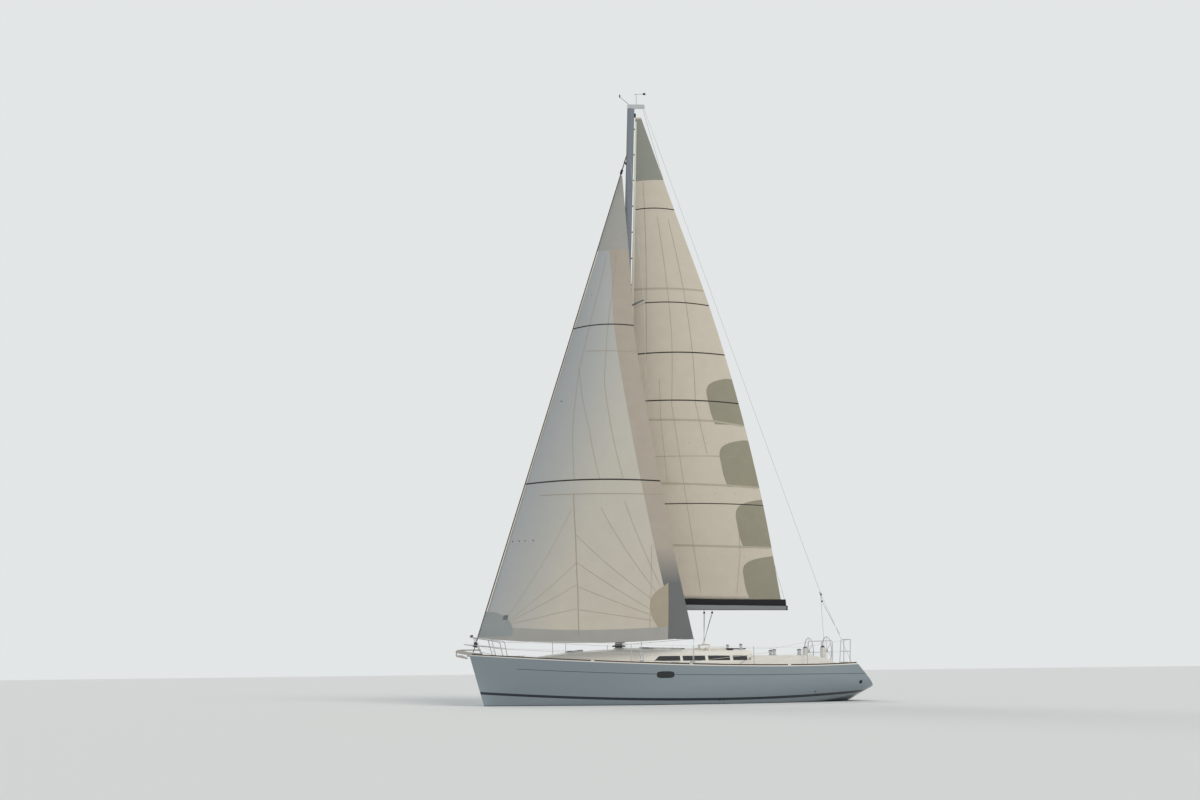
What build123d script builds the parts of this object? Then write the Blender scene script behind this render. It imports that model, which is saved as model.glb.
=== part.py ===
"""Sloop-rigged cruising yacht: hull, deck gear, rig and sails, in millimetres.

X runs forward to the bow, Y to port and Z up. The origin lies amidships on the
centreline at the height of the water.
"""
import os
from math import cos, radians, sin, tan

from build123d import *

os.makedirs("parts", exist_ok=True)

# Hull
keel_flat = 15
deck_edge = 32
deck_camber = 0.03
sheer_join = -2500
sheer_join_height = 1222
transom_top = (-6240, 1255)
transom_foot = (-7010, 455)
window_centre = (720, 985)
window_size = (590, 185)
window_recess_plane = 2000
fit_gap = 0.3

# Coachroof, cockpit and openings
wall = 40
roof_aft = -2600
seat_height = 1180
well_sole = 780
helm_sole = 840
cockpit_forward = -2660
seats_aft = -5100
cockpit_aft = -6050
seat_half_width = 1380
well_half_width = 470
tub_wall = 30
coaming_inner = 1400
coaming_outer = 1700
companion_half_width = 300
companion_sill = 1240
companion_fore = -1850
slide_height = 1814
slide_thickness = 34
slide_half_width = 360
lid_thickness = 26
lid_rim = 40

# Rig
mast_rake = 2.12
mast_foot = (1846, 1885)
mast_depth = 270
mast_width = 150
mast_top = 21700
luff_offset = 42
boom_height = 3300
boom_length = 5720
boom_angle = 7.5
boom_start = 120
vang_height = 2090
vang_reach = 1750
pin_radius = 10
eye_height = 60
forestay_foot = (6880, 1790)
forestay_top = 19950
foil_radius = 20
drum_radius = 95
drum_start = 180
drum_height = 150
chainplate = (1400, 1345, 1480)
lower_tip = (1000, 1310, 7800)
upper_tip = (980, 1000, 14080)
hounds = 19850
wire_radius = 6
sail_thickness = 12

# Steering and underwater gear
wheel_radius = 465
wheel_tube = 15
wheel_place = (-5390, 900, 1745)
pedestal_place = -5245
stock_radius = 36
stock_place = -5200
stock_top = 700
rudder_top = -260
bulb_height = -2010
bulb_radius = 185
bulb_nose = 1250
bulb_shoulder = 400
bulb_tail = -650
bulb_tail_radius = 35
propeller_height = -960
propeller_place = -2575
shaft_radius = 14


def sheer_height(x):
    """Height of the hull's top edge at a station."""
    slope = 0.01687
    bend = 3.25e-6 if x > sheer_join else 7.11e-6
    run = x - sheer_join
    return sheer_join_height + slope * run + bend * run * run


def mast_x(z):
    """Centre of the mast at a height."""
    return mast_foot[0] - (z - mast_foot[1]) * tan(radians(mast_rake))


def axis_x(z):
    """Line behind the mast on which the boom and the luff of the mainsail turn."""
    return mast_x(z) - mast_depth / 2 - luff_offset


def station_plane(x, rake):
    """Plane of a hull section that leans forward with the stem."""
    return Plane(origin=(x, 0, 0), x_dir=(0, 1, 0), z_dir=(cos(radians(rake)), 0, -sin(radians(rake))))


def rod(start, end, radius):
    """Straight round bar between two points."""
    direction = Vector(*end) - Vector(*start)
    with BuildPart() as bar:
        with BuildSketch(Plane(origin=start, z_dir=direction)):
            Circle(radius)
        extrude(amount=direction.length)
    return bar.part


def tube(points, radius, bend):
    """Round tube bent through a list of points."""
    with BuildPart() as bar:
        with BuildLine() as path:
            FilletPolyline(*points, radius=bend)
        with BuildSketch(Plane(origin=path.line @ 0, z_dir=path.line % 0)):
            Circle(radius)
        sweep()
    return bar.part


def block(low, high):
    """Rectangular block between two corners."""
    with BuildPart() as body:
        with Locations([(Vector(*low) + Vector(*high)) / 2]):
            Box(high[0] - low[0], high[1] - low[1], high[2] - low[2])
    return body.part


def foil_section(plane, nose, chord, thickness):
    """Streamlined face with a half-elliptic nose and straight flanks to a thin tail."""
    widest = 0.3 * chord
    tail = 4
    with BuildSketch(plane) as section:
        with BuildLine():
            EllipticalCenterArc((nose - widest, 0), widest, thickness / 2, start_angle=-90, arc_size=180)
            Polyline(
                (nose - widest, thickness / 2), (nose - chord, tail), (nose - chord, -tail),
                (nose - widest, -thickness / 2),
            )
        make_face()
    return section.sketch.faces()[0]


# Hull sections
# columns: station at the water, rake, half beam at deck, bilge corner half beam and height, keel, radius
hull_stations = (
    (6500, 16.7, 34, 33, 60, -60, 18),
    (6000, 14.0, 440, 130, -20, -200, 150),
    (5000, 10.0, 950, 500, -120, -360, 500),
    (3700, 6.0, 1430, 1010, -200, -490, 800),
    (2000, 2.0, 1990, 1640, -260, -570, 1000),
    (0, 0.0, 2160, 1970, -280, -600, 1200),
    (-2000, 0.0, 2160, 2030, -220, -560, 1250),
    (-4000, 0.0, 2060, 1930, -20, -340, 1150),
    (-5500, 0.0, 1800, 1680, 220, -140, 950),
    (-7300, 0.0, 1400, 1300, 680, 590, 550),
)


def deck_station(row):
    """Where a leaning section meets the deck."""
    return row[0] + 1500 * tan(radians(row[1]))


def half_beam(x):
    """Half beam of the deck at a station, read between the sections."""
    for fore, aft in zip(hull_stations, hull_stations[1:]):
        if x >= deck_station(aft):
            share = (x - deck_station(aft)) / (deck_station(fore) - deck_station(aft))
            return aft[2] + share * (fore[2] - aft[2])
    return hull_stations[-1][2]


def deck_height(x, y=0.0):
    """Top of the cambered deck."""
    beam = half_beam(x)
    return sheer_height(x) + deck_edge + deck_camber * beam * (1 - (y / beam) ** 2)


def hull_section(row):
    """Closed section: cambered deck, topsides, round bilge and flat along the keel."""
    x, rake, beam, bilge, bilge_height, keel, radius = row
    lean = cos(radians(rake))
    top = (sheer_height(deck_station(row)) + deck_edge) / lean
    with BuildSketch(station_plane(x, rake)) as section:
        with BuildLine():
            side = FilletPolyline(
                (beam, top), (bilge, bilge_height / lean), (keel_flat, keel / lean), radius=radius
            )
            mirror(side, about=Plane.YZ)
            Line((-keel_flat, keel / lean), (keel_flat, keel / lean))
            ThreePointArc((beam, top), (0, top + deck_camber * beam), (-beam, top))
        make_face()
    return section.sketch.faces()[0]


with BuildPart() as shell:
    loft(sections=[hull_section(row) for row in hull_stations])
    # Reverse transom
    with BuildSketch(Plane.XZ):
        with BuildLine():
            slant = (transom_foot[0] - transom_top[0]) / (transom_foot[1] - transom_top[1])
            Polyline(
                (transom_top[0] + slant * 900, transom_top[1] + 900),
                (transom_foot[0] - slant * 900, transom_foot[1] - 900),
                (-9000, -500),
                (-9000, 2200),
                close=True,
            )
        make_face()
    extrude(amount=3000, both=True, mode=Mode.SUBTRACT)

with BuildPart() as above_sheer:
    with BuildSketch(Plane.XZ):
        with BuildLine():
            ThreePointArc(
                (7400, sheer_height(7400)), (2400, sheer_height(2400)), (sheer_join, sheer_join_height)
            )
            ThreePointArc(
                (sheer_join, sheer_join_height), (-5000, sheer_height(-5000)), (-7500, sheer_height(-7500))
            )
            Polyline((-7500, sheer_height(-7500)), (-7500, 2500), (7400, 2500), (7400, sheer_height(7400)))
        make_face()
    extrude(amount=3000, both=True)

# Space of the cockpit
# columns: low corner, high corner
cockpit_steps = (
    ((seats_aft, -seat_half_width, seat_height), (cockpit_forward, seat_half_width, 2600)),
    ((seats_aft, -well_half_width, well_sole), (cockpit_forward, well_half_width, 2600)),
    ((cockpit_aft, -seat_half_width + 20, helm_sole), (seats_aft, seat_half_width - 20, 2600)),
)
transom_steps = (
    ((-7400, -330, helm_sole + 80), (cockpit_aft, 330, 2600)),
    ((-7400, -620, 590), (-6420, 620, 2600)),
)
# Lockers under the seats
# columns: side, aft end, forward end, inner edge, outer edge, floor
seat_lockers = ((1, -4350, -3450, 660, 1120, 800), (-1, -4350, -3450, 660, 1120, 800))
with BuildPart() as cockpit_space:
    for low, high in cockpit_steps + transom_steps:
        add(block(low, high))
with BuildPart() as locker_space:
    for side, aft_end, fore_end, inner, outer, floor in seat_lockers:
        ends = sorted((side * inner, side * outer))
        add(block((aft_end, ends[0], floor), (fore_end, ends[1], seat_height + 10)))

with BuildPart() as tub:
    for low, high in cockpit_steps:
        add(block((low[0] - tub_wall, low[1] - tub_wall, low[2] - tub_wall),
                  (high[0] + tub_wall, high[1] + tub_wall, 1300)))
    add(shell.part, mode=Mode.INTERSECT)

# Deck hatches
# columns: name, hinge end x, length aft of the hinge, width
roof_hatches = (("roof_hatch_fore", 1080, 440, 440), ("roof_hatch_aft", -20, 440, 440))
fore_hatch = ("fore_hatch", 3700, 560, 560)

# Saloon, passage, fore cabin, engine bay and anchor locker inside the hull
# columns: low corner, high corner
inner_spaces = (
    ((-1450, -980, -60), (2500, 980, 2000)),
    ((-1450, -430, -330), (2500, 430, 2000)),
    ((-2540, -700, 620), (-1450, 700, 2000)),
    ((2500, -430, 160), (4250, 430, 1700)),
    ((-2330, -330, -230), (-1450, 330, 560)),
    ((5600, -170, 1120), (6120, 170, 2000)),
)

with BuildPart() as window_prism:
    with BuildSketch(Plane.XZ):
        with Locations(window_centre):
            RectangleRounded(*window_size, 60)
    extrude(amount=2600, both=True)
    add(block((0, -window_recess_plane, 500), (1500, window_recess_plane, 1500)), mode=Mode.SUBTRACT)

with BuildPart() as hull:
    add(shell.part)
    add(above_sheer.part, mode=Mode.SUBTRACT)
    add(tub.part, mode=Mode.SUBTRACT)
    add(cockpit_space.part, mode=Mode.SUBTRACT)
    add(locker_space.part, mode=Mode.SUBTRACT)
    for low, high in inner_spaces:
        add(block(low, high), mode=Mode.SUBTRACT)
    add(window_prism.part, mode=Mode.SUBTRACT)
    # Bearing of the rudder stock
    with Locations((stock_place, 0, (stock_top + 40 - 500) / 2)):
        Cylinder(stock_radius + fit_gap, stock_top + 40 + 500, mode=Mode.SUBTRACT)
hull.part.label = "hull"
export_step(hull.part, "parts/hull.step")

with BuildPart() as hull_windows:
    add(shell.part)
    add(window_prism.part, mode=Mode.INTERSECT)
hull_windows.part.label = "hull_windows"
export_step(hull_windows.part, "parts/hull_windows.step")

# Coachroof sections
# columns: station, half width at the foot, half width at the top, height
roof_stations = (
    (4700, 300, 240, 1600),
    (3900, 560, 470, 1725),
    (3080, 780, 660, 1795),
    (2500, 900, 750, 1832),
    (1500, 1060, 850, 1855),
    (500, 1200, 970, 1838),
    (-600, 1275, 1040, 1806),
    (-1600, 1305, 1070, 1797),
    (roof_aft, 1320, 1090, 1794),
)
roof_crown = 55


def roof_solid(inset, foot):
    """Coachroof form, drawn in by the inset on its sides, top and ends."""
    faces = []
    for x, half_foot, half_top, height in roof_stations:
        place = x
        if x == roof_stations[0][0]:
            place = x - inset * 3
        if x == roof_aft:
            place = x + inset
        top = height - inset
        with BuildSketch(Plane(origin=(place, 0, 0), x_dir=(0, 1, 0), z_dir=(1, 0, 0))) as section:
            with BuildLine():
                Polyline(
                    (half_top - inset, top - roof_crown), (half_foot - inset, foot),
                    (-half_foot + inset, foot), (-half_top + inset, top - roof_crown),
                )
                ThreePointArc(
                    (half_top - inset, top - roof_crown), (0, top), (-half_top + inset, top - roof_crown)
                )
            make_face()
            fillet(section.vertices().group_by(Axis.Z)[-1], radius=70 - inset / 2)
        faces.append(section.sketch.faces()[0])
    with BuildPart() as body:
        loft(sections=faces)
    return body.part


roof_outside = roof_solid(0, 1250)
roof_inside = roof_solid(wall, 1100)

# Side windows of the coachroof
# columns: forward end, aft end, length of the pointed nose
side_windows = ((860, -40, 190), (-130, -920, 0), (-1020, -1780, 0), (-1880, -2380, 0))
glass_low = 1435
glass_high = 1600
glass_thickness = 10


def window_band(shrink):
    """Prism through both coachroof sides in the outline of the window row."""
    with BuildPart() as band:
        for fore_end, aft_end, nose in side_windows:
            with BuildSketch(Plane.XZ):
                with BuildLine():
                    Polyline(
                        (fore_end - nose - shrink, glass_high - shrink),
                        (aft_end + shrink, glass_high - shrink),
                        (aft_end + shrink, glass_low + shrink),
                        (fore_end - shrink, glass_low + shrink),
                        close=True,
                    )
                make_face()
            extrude(amount=1900, both=True)
    return band.part


with BuildPart() as deck:
    add(shell.part)
    add(roof_outside)
    # Cockpit coamings
    with BuildSketch(Plane.XZ.offset(-coaming_outer)):
        with BuildLine():
            Polyline(
                (-1900, 1240), (-2500, 1590), (-4480, 1570), (-5000, 1480), (-5300, 1400), (-5300, 1200),
                (-1900, 1200), close=True,
            )
        make_face()
    coaming = extrude(amount=coaming_outer - coaming_inner)
    mirror(coaming, about=Plane.XZ)
    add(above_sheer.part, mode=Mode.INTERSECT)
    add(tub.part)
    # Garage into which the companionway hatch slides
    add(block((-1850, -440, 1760), (-980, 440, 1880)))
    # Runners of the hatch
    for side in (-1, 1):
        add(block((roof_aft, side * 345 - 12, 1770), (-1840, side * 345 + 12, slide_height - fit_gap)))
    add(roof_inside, mode=Mode.SUBTRACT)
    add(block((-1860, -slide_half_width - 10, slide_height - 5),
              (-1040, slide_half_width + 10, slide_height + slide_thickness + 6)), mode=Mode.SUBTRACT)
    add(block((roof_aft - 50, -companion_half_width, companion_sill),
              (companion_fore, companion_half_width, 2000)), mode=Mode.SUBTRACT)
    add(cockpit_space.part, mode=Mode.SUBTRACT)
    add(locker_space.part, mode=Mode.SUBTRACT)
    add(window_band(0), mode=Mode.SUBTRACT)
    # Openings under the hatches
    for name, hinge, length, width in roof_hatches + (fore_hatch,):
        add(block((hinge - length + lid_rim, -width / 2 + lid_rim, 1300),
                  (hinge - lid_rim, width / 2 - lid_rim, 2000)), mode=Mode.SUBTRACT)
    add(block((5600, -170, 1120), (6120, 170, 2000)), mode=Mode.SUBTRACT)
deck.part.label = "deck"
export_step(deck.part, "parts/deck.step")

with BuildPart() as coachroof_windows:
    add(roof_outside)
    add(roof_solid(glass_thickness, 1200), mode=Mode.SUBTRACT)
    add(window_band(fit_gap), mode=Mode.INTERSECT)
coachroof_windows.part.label = "coachroof_windows"
export_step(coachroof_windows.part, "parts/coachroof_windows.step")

# Toe rails along the deck edge
rail_breaks = (3100, -150, -3600)
with BuildPart() as toe_rails:
    faces = []
    for row in hull_stations[:-1] + ((-7300, 0.0, 1400),):
        lean = cos(radians(row[1]))
        top = (sheer_height(deck_station(row)) + deck_edge) / lean
        with BuildSketch(station_plane(row[0], row[1])) as section:
            with Locations((max(row[2] - 24, 16), top + 12)):
                Rectangle(30, 56)
        faces.append(section.sketch.faces()[0])
    port_rail = loft(sections=faces)
    mirror(port_rail, about=Plane.XZ)
    add(shell.part, mode=Mode.SUBTRACT)
    for x in rail_breaks:
        add(block((x - 60, -2400, 1000), (x + 60, 2400, 1800)), mode=Mode.SUBTRACT)
    add(block((-8000, -2400, 0), (-6180, 2400, 2500)), mode=Mode.SUBTRACT)
    add(block((6930, -400, 0), (8000, 400, 2500)), mode=Mode.SUBTRACT)
toe_rails.part.label = "toe_rails"
export_step(toe_rails.part, "parts/toe_rails.step")

# Foils under water
# columns: height, nose x, chord, thickness
fin_rows = ((-1980, 930, 1250, 150), (-420, 1150, 1800, 230))
rudder_rows = ((rudder_top, stock_place + 130, 640, 100), (-1950, stock_place + 60, 400, 60))
leg_rows = ((-380, -2200, 330, 110), (propeller_height, -2230, 280, 80))


def foil_loft(rows):
    """Tapered foil through its rows."""
    loft(sections=[
        foil_section(Plane.XY.offset(height), nose, chord, thickness)
        for height, nose, chord, thickness in rows
    ])


# Fin keel with its bulb
with BuildPart() as fin:
    foil_loft(fin_rows)
    add(hull.part, mode=Mode.SUBTRACT)
with BuildPart() as keel:
    with BuildSketch(Plane.XZ):
        with BuildLine():
            CenterArc((bulb_nose - bulb_radius, bulb_height), bulb_radius, 0, 90)
            Polyline(
                (bulb_nose - bulb_radius, bulb_height + bulb_radius),
                (bulb_shoulder, bulb_height + bulb_radius), (bulb_tail, bulb_height + bulb_tail_radius),
                (bulb_tail, bulb_height), (bulb_nose, bulb_height),
            )
        make_face()
    revolve(axis=Axis((0, 0, bulb_height), (1, 0, 0)))
    add(fin.part)
keel.part.label = "keel"
export_step(keel.part, "parts/keel.step")

# Spade rudder on its stock
stock_foot = rudder_top - 60
with BuildPart() as rudder:
    foil_loft(rudder_rows)
    add(rod((stock_place, 0, stock_foot), (stock_place, 0, stock_top), stock_radius))
rudder.part.label = "rudder"
export_step(rudder.part, "parts/rudder.step")

# Sail-drive leg
pod_centre = -2330
pod_nose_length = 180
pod_radius = 58
pod_end_radius = 42
pod_end = propeller_place + 6
with BuildPart() as saildrive_leg:
    foil_loft(leg_rows)
    with BuildSketch(Plane.XZ):
        with BuildLine():
            EllipticalCenterArc(
                (pod_centre, propeller_height), pod_nose_length, pod_radius, start_angle=0, arc_size=90
            )
            Polyline((pod_centre, propeller_height + pod_radius), (pod_end, propeller_height + pod_end_radius),
                     (pod_end, propeller_height), (pod_centre + pod_nose_length, propeller_height))
        make_face()
    revolve(axis=Axis((0, 0, propeller_height), (1, 0, 0)))
    add(rod((pod_centre, 0, propeller_height), (propeller_place - 100, 0, propeller_height), shaft_radius))
    add(shell.part, mode=Mode.SUBTRACT)
saildrive_leg.part.label = "saildrive_leg"
export_step(saildrive_leg.part, "parts/saildrive_leg.step")

# Three-bladed propeller
propeller_plane = Plane(origin=(propeller_place, 0, propeller_height), x_dir=(0, 1, 0), z_dir=(-1, 0, 0))
with BuildPart() as propeller:
    with BuildSketch(propeller_plane):
        Circle(40)
    extrude(amount=92)
    for turn in (0, 120, 240):
        pitch_plane = Plane(
            origin=(propeller_place - 46, 0, propeller_height),
            x_dir=(0, sin(radians(turn)), cos(radians(turn))),
            z_dir=(1, 0.55 * cos(radians(turn)), -0.55 * sin(radians(turn))),
        )
        with BuildSketch(pitch_plane):
            with Locations((125, 0)):
                Ellipse(105, 48)
        extrude(amount=4, both=True)
    with BuildSketch(propeller_plane):
        Circle(shaft_radius + fit_gap)
    extrude(amount=98, mode=Mode.SUBTRACT)
propeller.part.label = "propeller"
export_step(propeller.part, "parts/propeller.step")

# Engine block in its bay and the steps in front of it
with BuildPart() as engine:
    add(block((-2270, -260, -230), (-1560, 260, 460)))
    chamfer(engine.edges().filter_by(Axis.Z), length=60)
engine.part.label = "engine"
export_step(engine.part, "parts/engine.step")

with BuildPart() as companion_steps:
    for number in range(4):
        add(block((-1440, -290, -330 + fit_gap), (-920 - 130 * number, 290, -60 + 240 * number)))
companion_steps.part.label = "companion_steps"
export_step(companion_steps.part, "parts/companion_steps.step")

# Companionway: sliding hatch and lower washboard
with BuildPart() as companion_hatch:
    add(block((roof_aft - 30, -slide_half_width, slide_height),
              (-1870, slide_half_width, slide_height + slide_thickness)))
    fillet(companion_hatch.edges().filter_by(Axis.Z), radius=40)
companion_hatch.part.label = "companion_hatch"
export_step(companion_hatch.part, "parts/companion_hatch.step")

with BuildPart() as washboard:
    add(block((roof_aft + wall + fit_gap, -companion_half_width - 30, companion_sill),
              (roof_aft + wall + 20, companion_half_width + 30, companion_sill + 270)))
washboard.part.label = "washboard"
export_step(washboard.part, "parts/washboard.step")


def hatch_plane(hinge, seat, slope):
    """Plane of a lid at its hinge edge, X pointing aft along the lid."""
    return Plane(
        origin=(hinge, 0, seat), x_dir=(-cos(radians(slope)), 0, -sin(radians(slope))),
        z_dir=(-sin(radians(slope)), 0, cos(radians(slope))),
    )


# Hatch lids on their frames
# columns: node, hinge edge x, length, width, seat height, slope, surface below
hatch_rows = (
    ("roof_hatch_fore", 1080, 440, 440, 1880, 0.6, roof_outside),
    ("roof_hatch_aft", -20, 440, 440, 1856, 2.1, roof_outside),
    ("fore_hatch", 3700, 560, 560, 1772, -4.6, roof_outside),
)
frames = []
for name, hinge, length, width, seat, slope, surface in hatch_rows:
    place = hatch_plane(hinge, seat, slope)
    with BuildPart() as frame:
        with BuildSketch(place):
            with Locations((length / 2, 0)):
                RectangleRounded(length - 16, width - 16, 50)
                RectangleRounded(length - 2 * lid_rim, width - 2 * lid_rim, 40, mode=Mode.SUBTRACT)
        extrude(amount=-70)
        add(surface, mode=Mode.SUBTRACT)
    frames.append(frame.part)
    with BuildPart() as lid:
        with BuildSketch(place.offset(fit_gap)):
            with Locations((length / 2, 0)):
                RectangleRounded(length, width, 60)
        extrude(amount=lid_thickness)
        fillet(lid.faces().sort_by(Axis.Z)[-1].edges(), radius=8)
    lid.part.label = name
    export_step(lid.part, f"parts/{name}.step")
with BuildPart() as hatch_frames:
    for frame in frames:
        add(frame.solids().sort_by(SortBy.VOLUME)[-1])
hatch_frames.part.label = "hatch_frames"
export_step(hatch_frames.part, "parts/hatch_frames.step")

# Anchor locker lid, lying on the foredeck
anchor_slope = 3.3
anchor_seat = deck_height(5560) - 2
anchor_lid_plane = Plane(
    origin=(5540, 0, anchor_seat), x_dir=(cos(radians(anchor_slope)), 0, sin(radians(anchor_slope))),
    z_dir=(-sin(radians(anchor_slope)), 0, cos(radians(anchor_slope))),
)
with BuildPart() as anchor_locker_lid:
    with BuildSketch(anchor_lid_plane):
        with Locations((330, 0)):
            RectangleRounded(640, 400, 40)
    extrude(amount=24)
anchor_locker_lid.part.label = "anchor_locker_lid"
export_step(anchor_locker_lid.part, "parts/anchor_locker_lid.step")

# Seat locker lids
for side, aft_end, fore_end, inner, outer, floor in seat_lockers:
    name = "seat_locker_lid_port" if side > 0 else "seat_locker_lid_starboard"
    with BuildPart() as lid:
        with BuildSketch(Plane.XY.offset(seat_height + fit_gap)):
            with Locations(((aft_end + fore_end) / 2, side * (inner + outer) / 2)):
                RectangleRounded(fore_end - aft_end + 50, outer - inner + 50, 40)
        extrude(amount=24)
    lid.part.label = name
    export_step(lid.part, f"parts/{name}.step")

# Bow roller with its cheeks and the stowed anchor
with BuildPart() as bow_roller:
    for side in (-1, 1):
        with BuildSketch(Plane.XZ.offset(-side * 52 - 4)):
            with BuildLine():
                Polyline((6560, 1640), (6560, 1740), (7050, 1800), (7330, 1870), (7420, 1850), (7430, 1790),
                         (7330, 1740), (7060, 1700), (6990, 1640), close=True)
            make_face()
        extrude(amount=8)
    add(block((6600, -52, 1640), (7090, 52, 1722)))
    add(rod((7365, -52, 1795), (7365, 52, 1795), 42))
    add(shell.part, mode=Mode.SUBTRACT)
bow_roller.part.label = "bow_roller"
export_step(bow_roller.part, "parts/bow_roller.step")

with BuildPart() as anchor:
    with BuildSketch(Plane.XZ):
        with BuildLine():
            Polyline((6620, 1838), (6620, 1884), (7300, 1884), (7440, 1860), (7478, 1800), (7450, 1690),
                     (7418, 1690), (7428, 1790), (7404, 1838), close=True)
        make_face()
    extrude(amount=11, both=True)
    with BuildSketch(Plane.XZ):
        with BuildLine():
            Polyline((7478, 1700), (7440, 1640), (7080, 1560), (7060, 1600), (7250, 1690), close=True)
        make_face()
    extrude(amount=34, both=True)
anchor.part.label = "anchor"
export_step(anchor.part, "parts/anchor.step")

# Pulpit
# columns: points of the port half from the foot or end to the bow
rail_radius = 14
middle_rail_radius = 11
pulpit_top_rail = ((5780, 560, deck_height(5780, 940) - 20), (5900, 600, 2130), (6500, 430, 2230), (6985, 150, 2290))
pulpit_middle_rail = ((5848, 583, 1900), (6400, 415, 1975), (7190, 160, 2050))
pulpit_legs = (((6560, 130, 1650), (6850, 228, 2273)), ((6150, 430, 1600), (6320, 481, 2200)))


def other_side(point):
    """Point mirrored to starboard."""
    return (point[0], -point[1], point[2])


with BuildPart() as pulpit:
    for rail, radius, bend in ((pulpit_top_rail, rail_radius, 90), (pulpit_middle_rail, middle_rail_radius, 60)):
        add(tube(rail + tuple(other_side(point) for point in reversed(rail)), radius, bend))
    for low, high in pulpit_legs:
        add(rod(low, high, rail_radius))
        add(rod(other_side(low), other_side(high), rail_radius))
    add(shell.part, mode=Mode.SUBTRACT)
pulpit.part.label = "pulpit"
export_step(pulpit.part, "parts/pulpit.step")

# Pushpits on the quarters
# columns: points of the port one from forward to aft
pushpit_top_rail = (
    (-5560, 1640, 1250), (-5640, 1640, 2100), (-6060, 1480, 2100), (-6170, 560, 2100), (-6140, 540, 1200),
)
pushpit_middle_rail = ((-5600, 1640, 1700), (-6050, 1470, 1700), (-6155, 550, 1700))
pushpit_leg = ((-6030, 1400, 1250), (-6072, 1420, 2096))
with BuildPart() as pushpits:
    port_side = (
        tube(pushpit_top_rail, rail_radius, 90),
        tube(pushpit_middle_rail, middle_rail_radius, 60),
        rod(*pushpit_leg, rail_radius),
    )
    for piece in port_side:
        add(piece)
        mirror(piece, about=Plane.XZ)
    add(shell.part, mode=Mode.SUBTRACT)
pushpits.part.label = "pushpits"
export_step(pushpits.part, "parts/pushpits.step")

# Stanchions in their sockets
stanchion_places = (3940, 1840, -260, -2360, -4300)
stanchion_inset = 90
foot_depth = 20
# columns: height over the deck, radius of the tube, socket and foot plate
stanchion_steps = ((620, 12.5), (70, 19), (9, 38))
with BuildPart() as stanchions:
    for x in stanchion_places:
        y = half_beam(x) - stanchion_inset
        z = deck_height(x, y)
        for side in (-1, 1):
            for height, radius in stanchion_steps:
                add(rod((x, side * y, z - foot_depth), (x, side * y, z + height), radius))
    add(shell.part, mode=Mode.SUBTRACT)
stanchions.part.label = "stanchions"
export_step(stanchions.part, "parts/stanchions.step")

# Mooring cleats
cleat_places = (5350, 350, -5750)
cleat_inset = 150
cleat_radius = 13
cleat_height = 50
cleat_half_length = 130
cleat_posts = (-45, 45)
with BuildPart() as mooring_cleats:
    for x in cleat_places:
        y = half_beam(x) - cleat_inset
        z = deck_height(x, y)
        for side in (-1, 1):
            for post in cleat_posts:
                add(rod((x + post, side * y, z - foot_depth), (x + post, side * y, z + cleat_height), cleat_radius))
            add(rod((x - cleat_half_length, side * y, z + cleat_height),
                    (x + cleat_half_length, side * y, z + cleat_height), cleat_radius))
    add(shell.part, mode=Mode.SUBTRACT)
mooring_cleats.part.label = "mooring_cleats"
export_step(mooring_cleats.part, "parts/mooring_cleats.step")

# Genoa tracks with their cars on the side decks
with BuildPart() as genoa_tracks:
    for side in (-1, 1):
        with BuildSketch(Plane(origin=(0, side * 1500, 0), x_dir=(1, 0, 0), z_dir=(0, -1, 0))):
            with BuildLine():
                Polyline((-1300, 1200), (1000, 1300), (1000, deck_height(1000, 1500) + 26),
                         (-1300, deck_height(-1300, 1500) + 26), close=True)
            make_face()
        extrude(amount=16, both=True)
        add(block((-450, side * 1500 - 28, 1290), (-290, side * 1500 + 28, deck_height(-300, 1500) + 90)))
    add(shell.part, mode=Mode.SUBTRACT)
genoa_tracks.part.label = "genoa_tracks"
export_step(genoa_tracks.part, "parts/genoa_tracks.step")

# Winches on the coamings and beside the companionway
# columns: x, y, foot height, drum radius
winch_places = (
    (-4150, 1550, 1500, 78), (-3250, 1550, 1500, 66), (-2300, 800, 1700, 58),
)
with BuildPart() as winches:
    for x, y, foot, radius in winch_places:
        for side in (-1, 1):
            with BuildSketch(Plane.XZ.offset(-side * y)):
                with BuildLine():
                    Polyline((x, foot), (x + radius * 1.15, foot), (x + radius * 1.15, foot + 110),
                             (x + radius * 0.78, foot + 130), (x + radius * 0.78, foot + 205),
                             (x + radius, foot + 232), (x + radius, foot + 262), (x, foot + 262), close=True)
                make_face()
            revolve(axis=Axis((x, side * y, 0), (0, 0, 1)))
    add(deck.part, mode=Mode.SUBTRACT)
winches.part.label = "winches"
export_step(winches.part, "parts/winches.step")

# Bridge of the mainsheet traveller over the hatch garage
bridge_place = -1210
bridge_half_length = 700
bridge_top = 1995
bridge_leg_place = 660
car_top = 2035
sheet_block_radius = 38
with BuildPart() as mainsheet_traveller:
    add(block((bridge_place - 35, -bridge_half_length, bridge_top - 40),
              (bridge_place + 35, bridge_half_length, bridge_top)))
    for side in (-1, 1):
        y = side * bridge_leg_place
        add(block((bridge_place - 30, y - 30, 1700), (bridge_place + 30, y + 30, bridge_top - 25)))
    add(block((bridge_place - 50, -70, bridge_top), (bridge_place + 50, 70, car_top)))
    with Locations(Location((bridge_place, 0, car_top + sheet_block_radius - 1), (90, 0, 0))):
        Cylinder(sheet_block_radius, 40)
    add(roof_outside, mode=Mode.SUBTRACT)
mainsheet_traveller.part.label = "mainsheet_traveller"
export_step(mainsheet_traveller.part, "parts/mainsheet_traveller.step")

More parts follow.
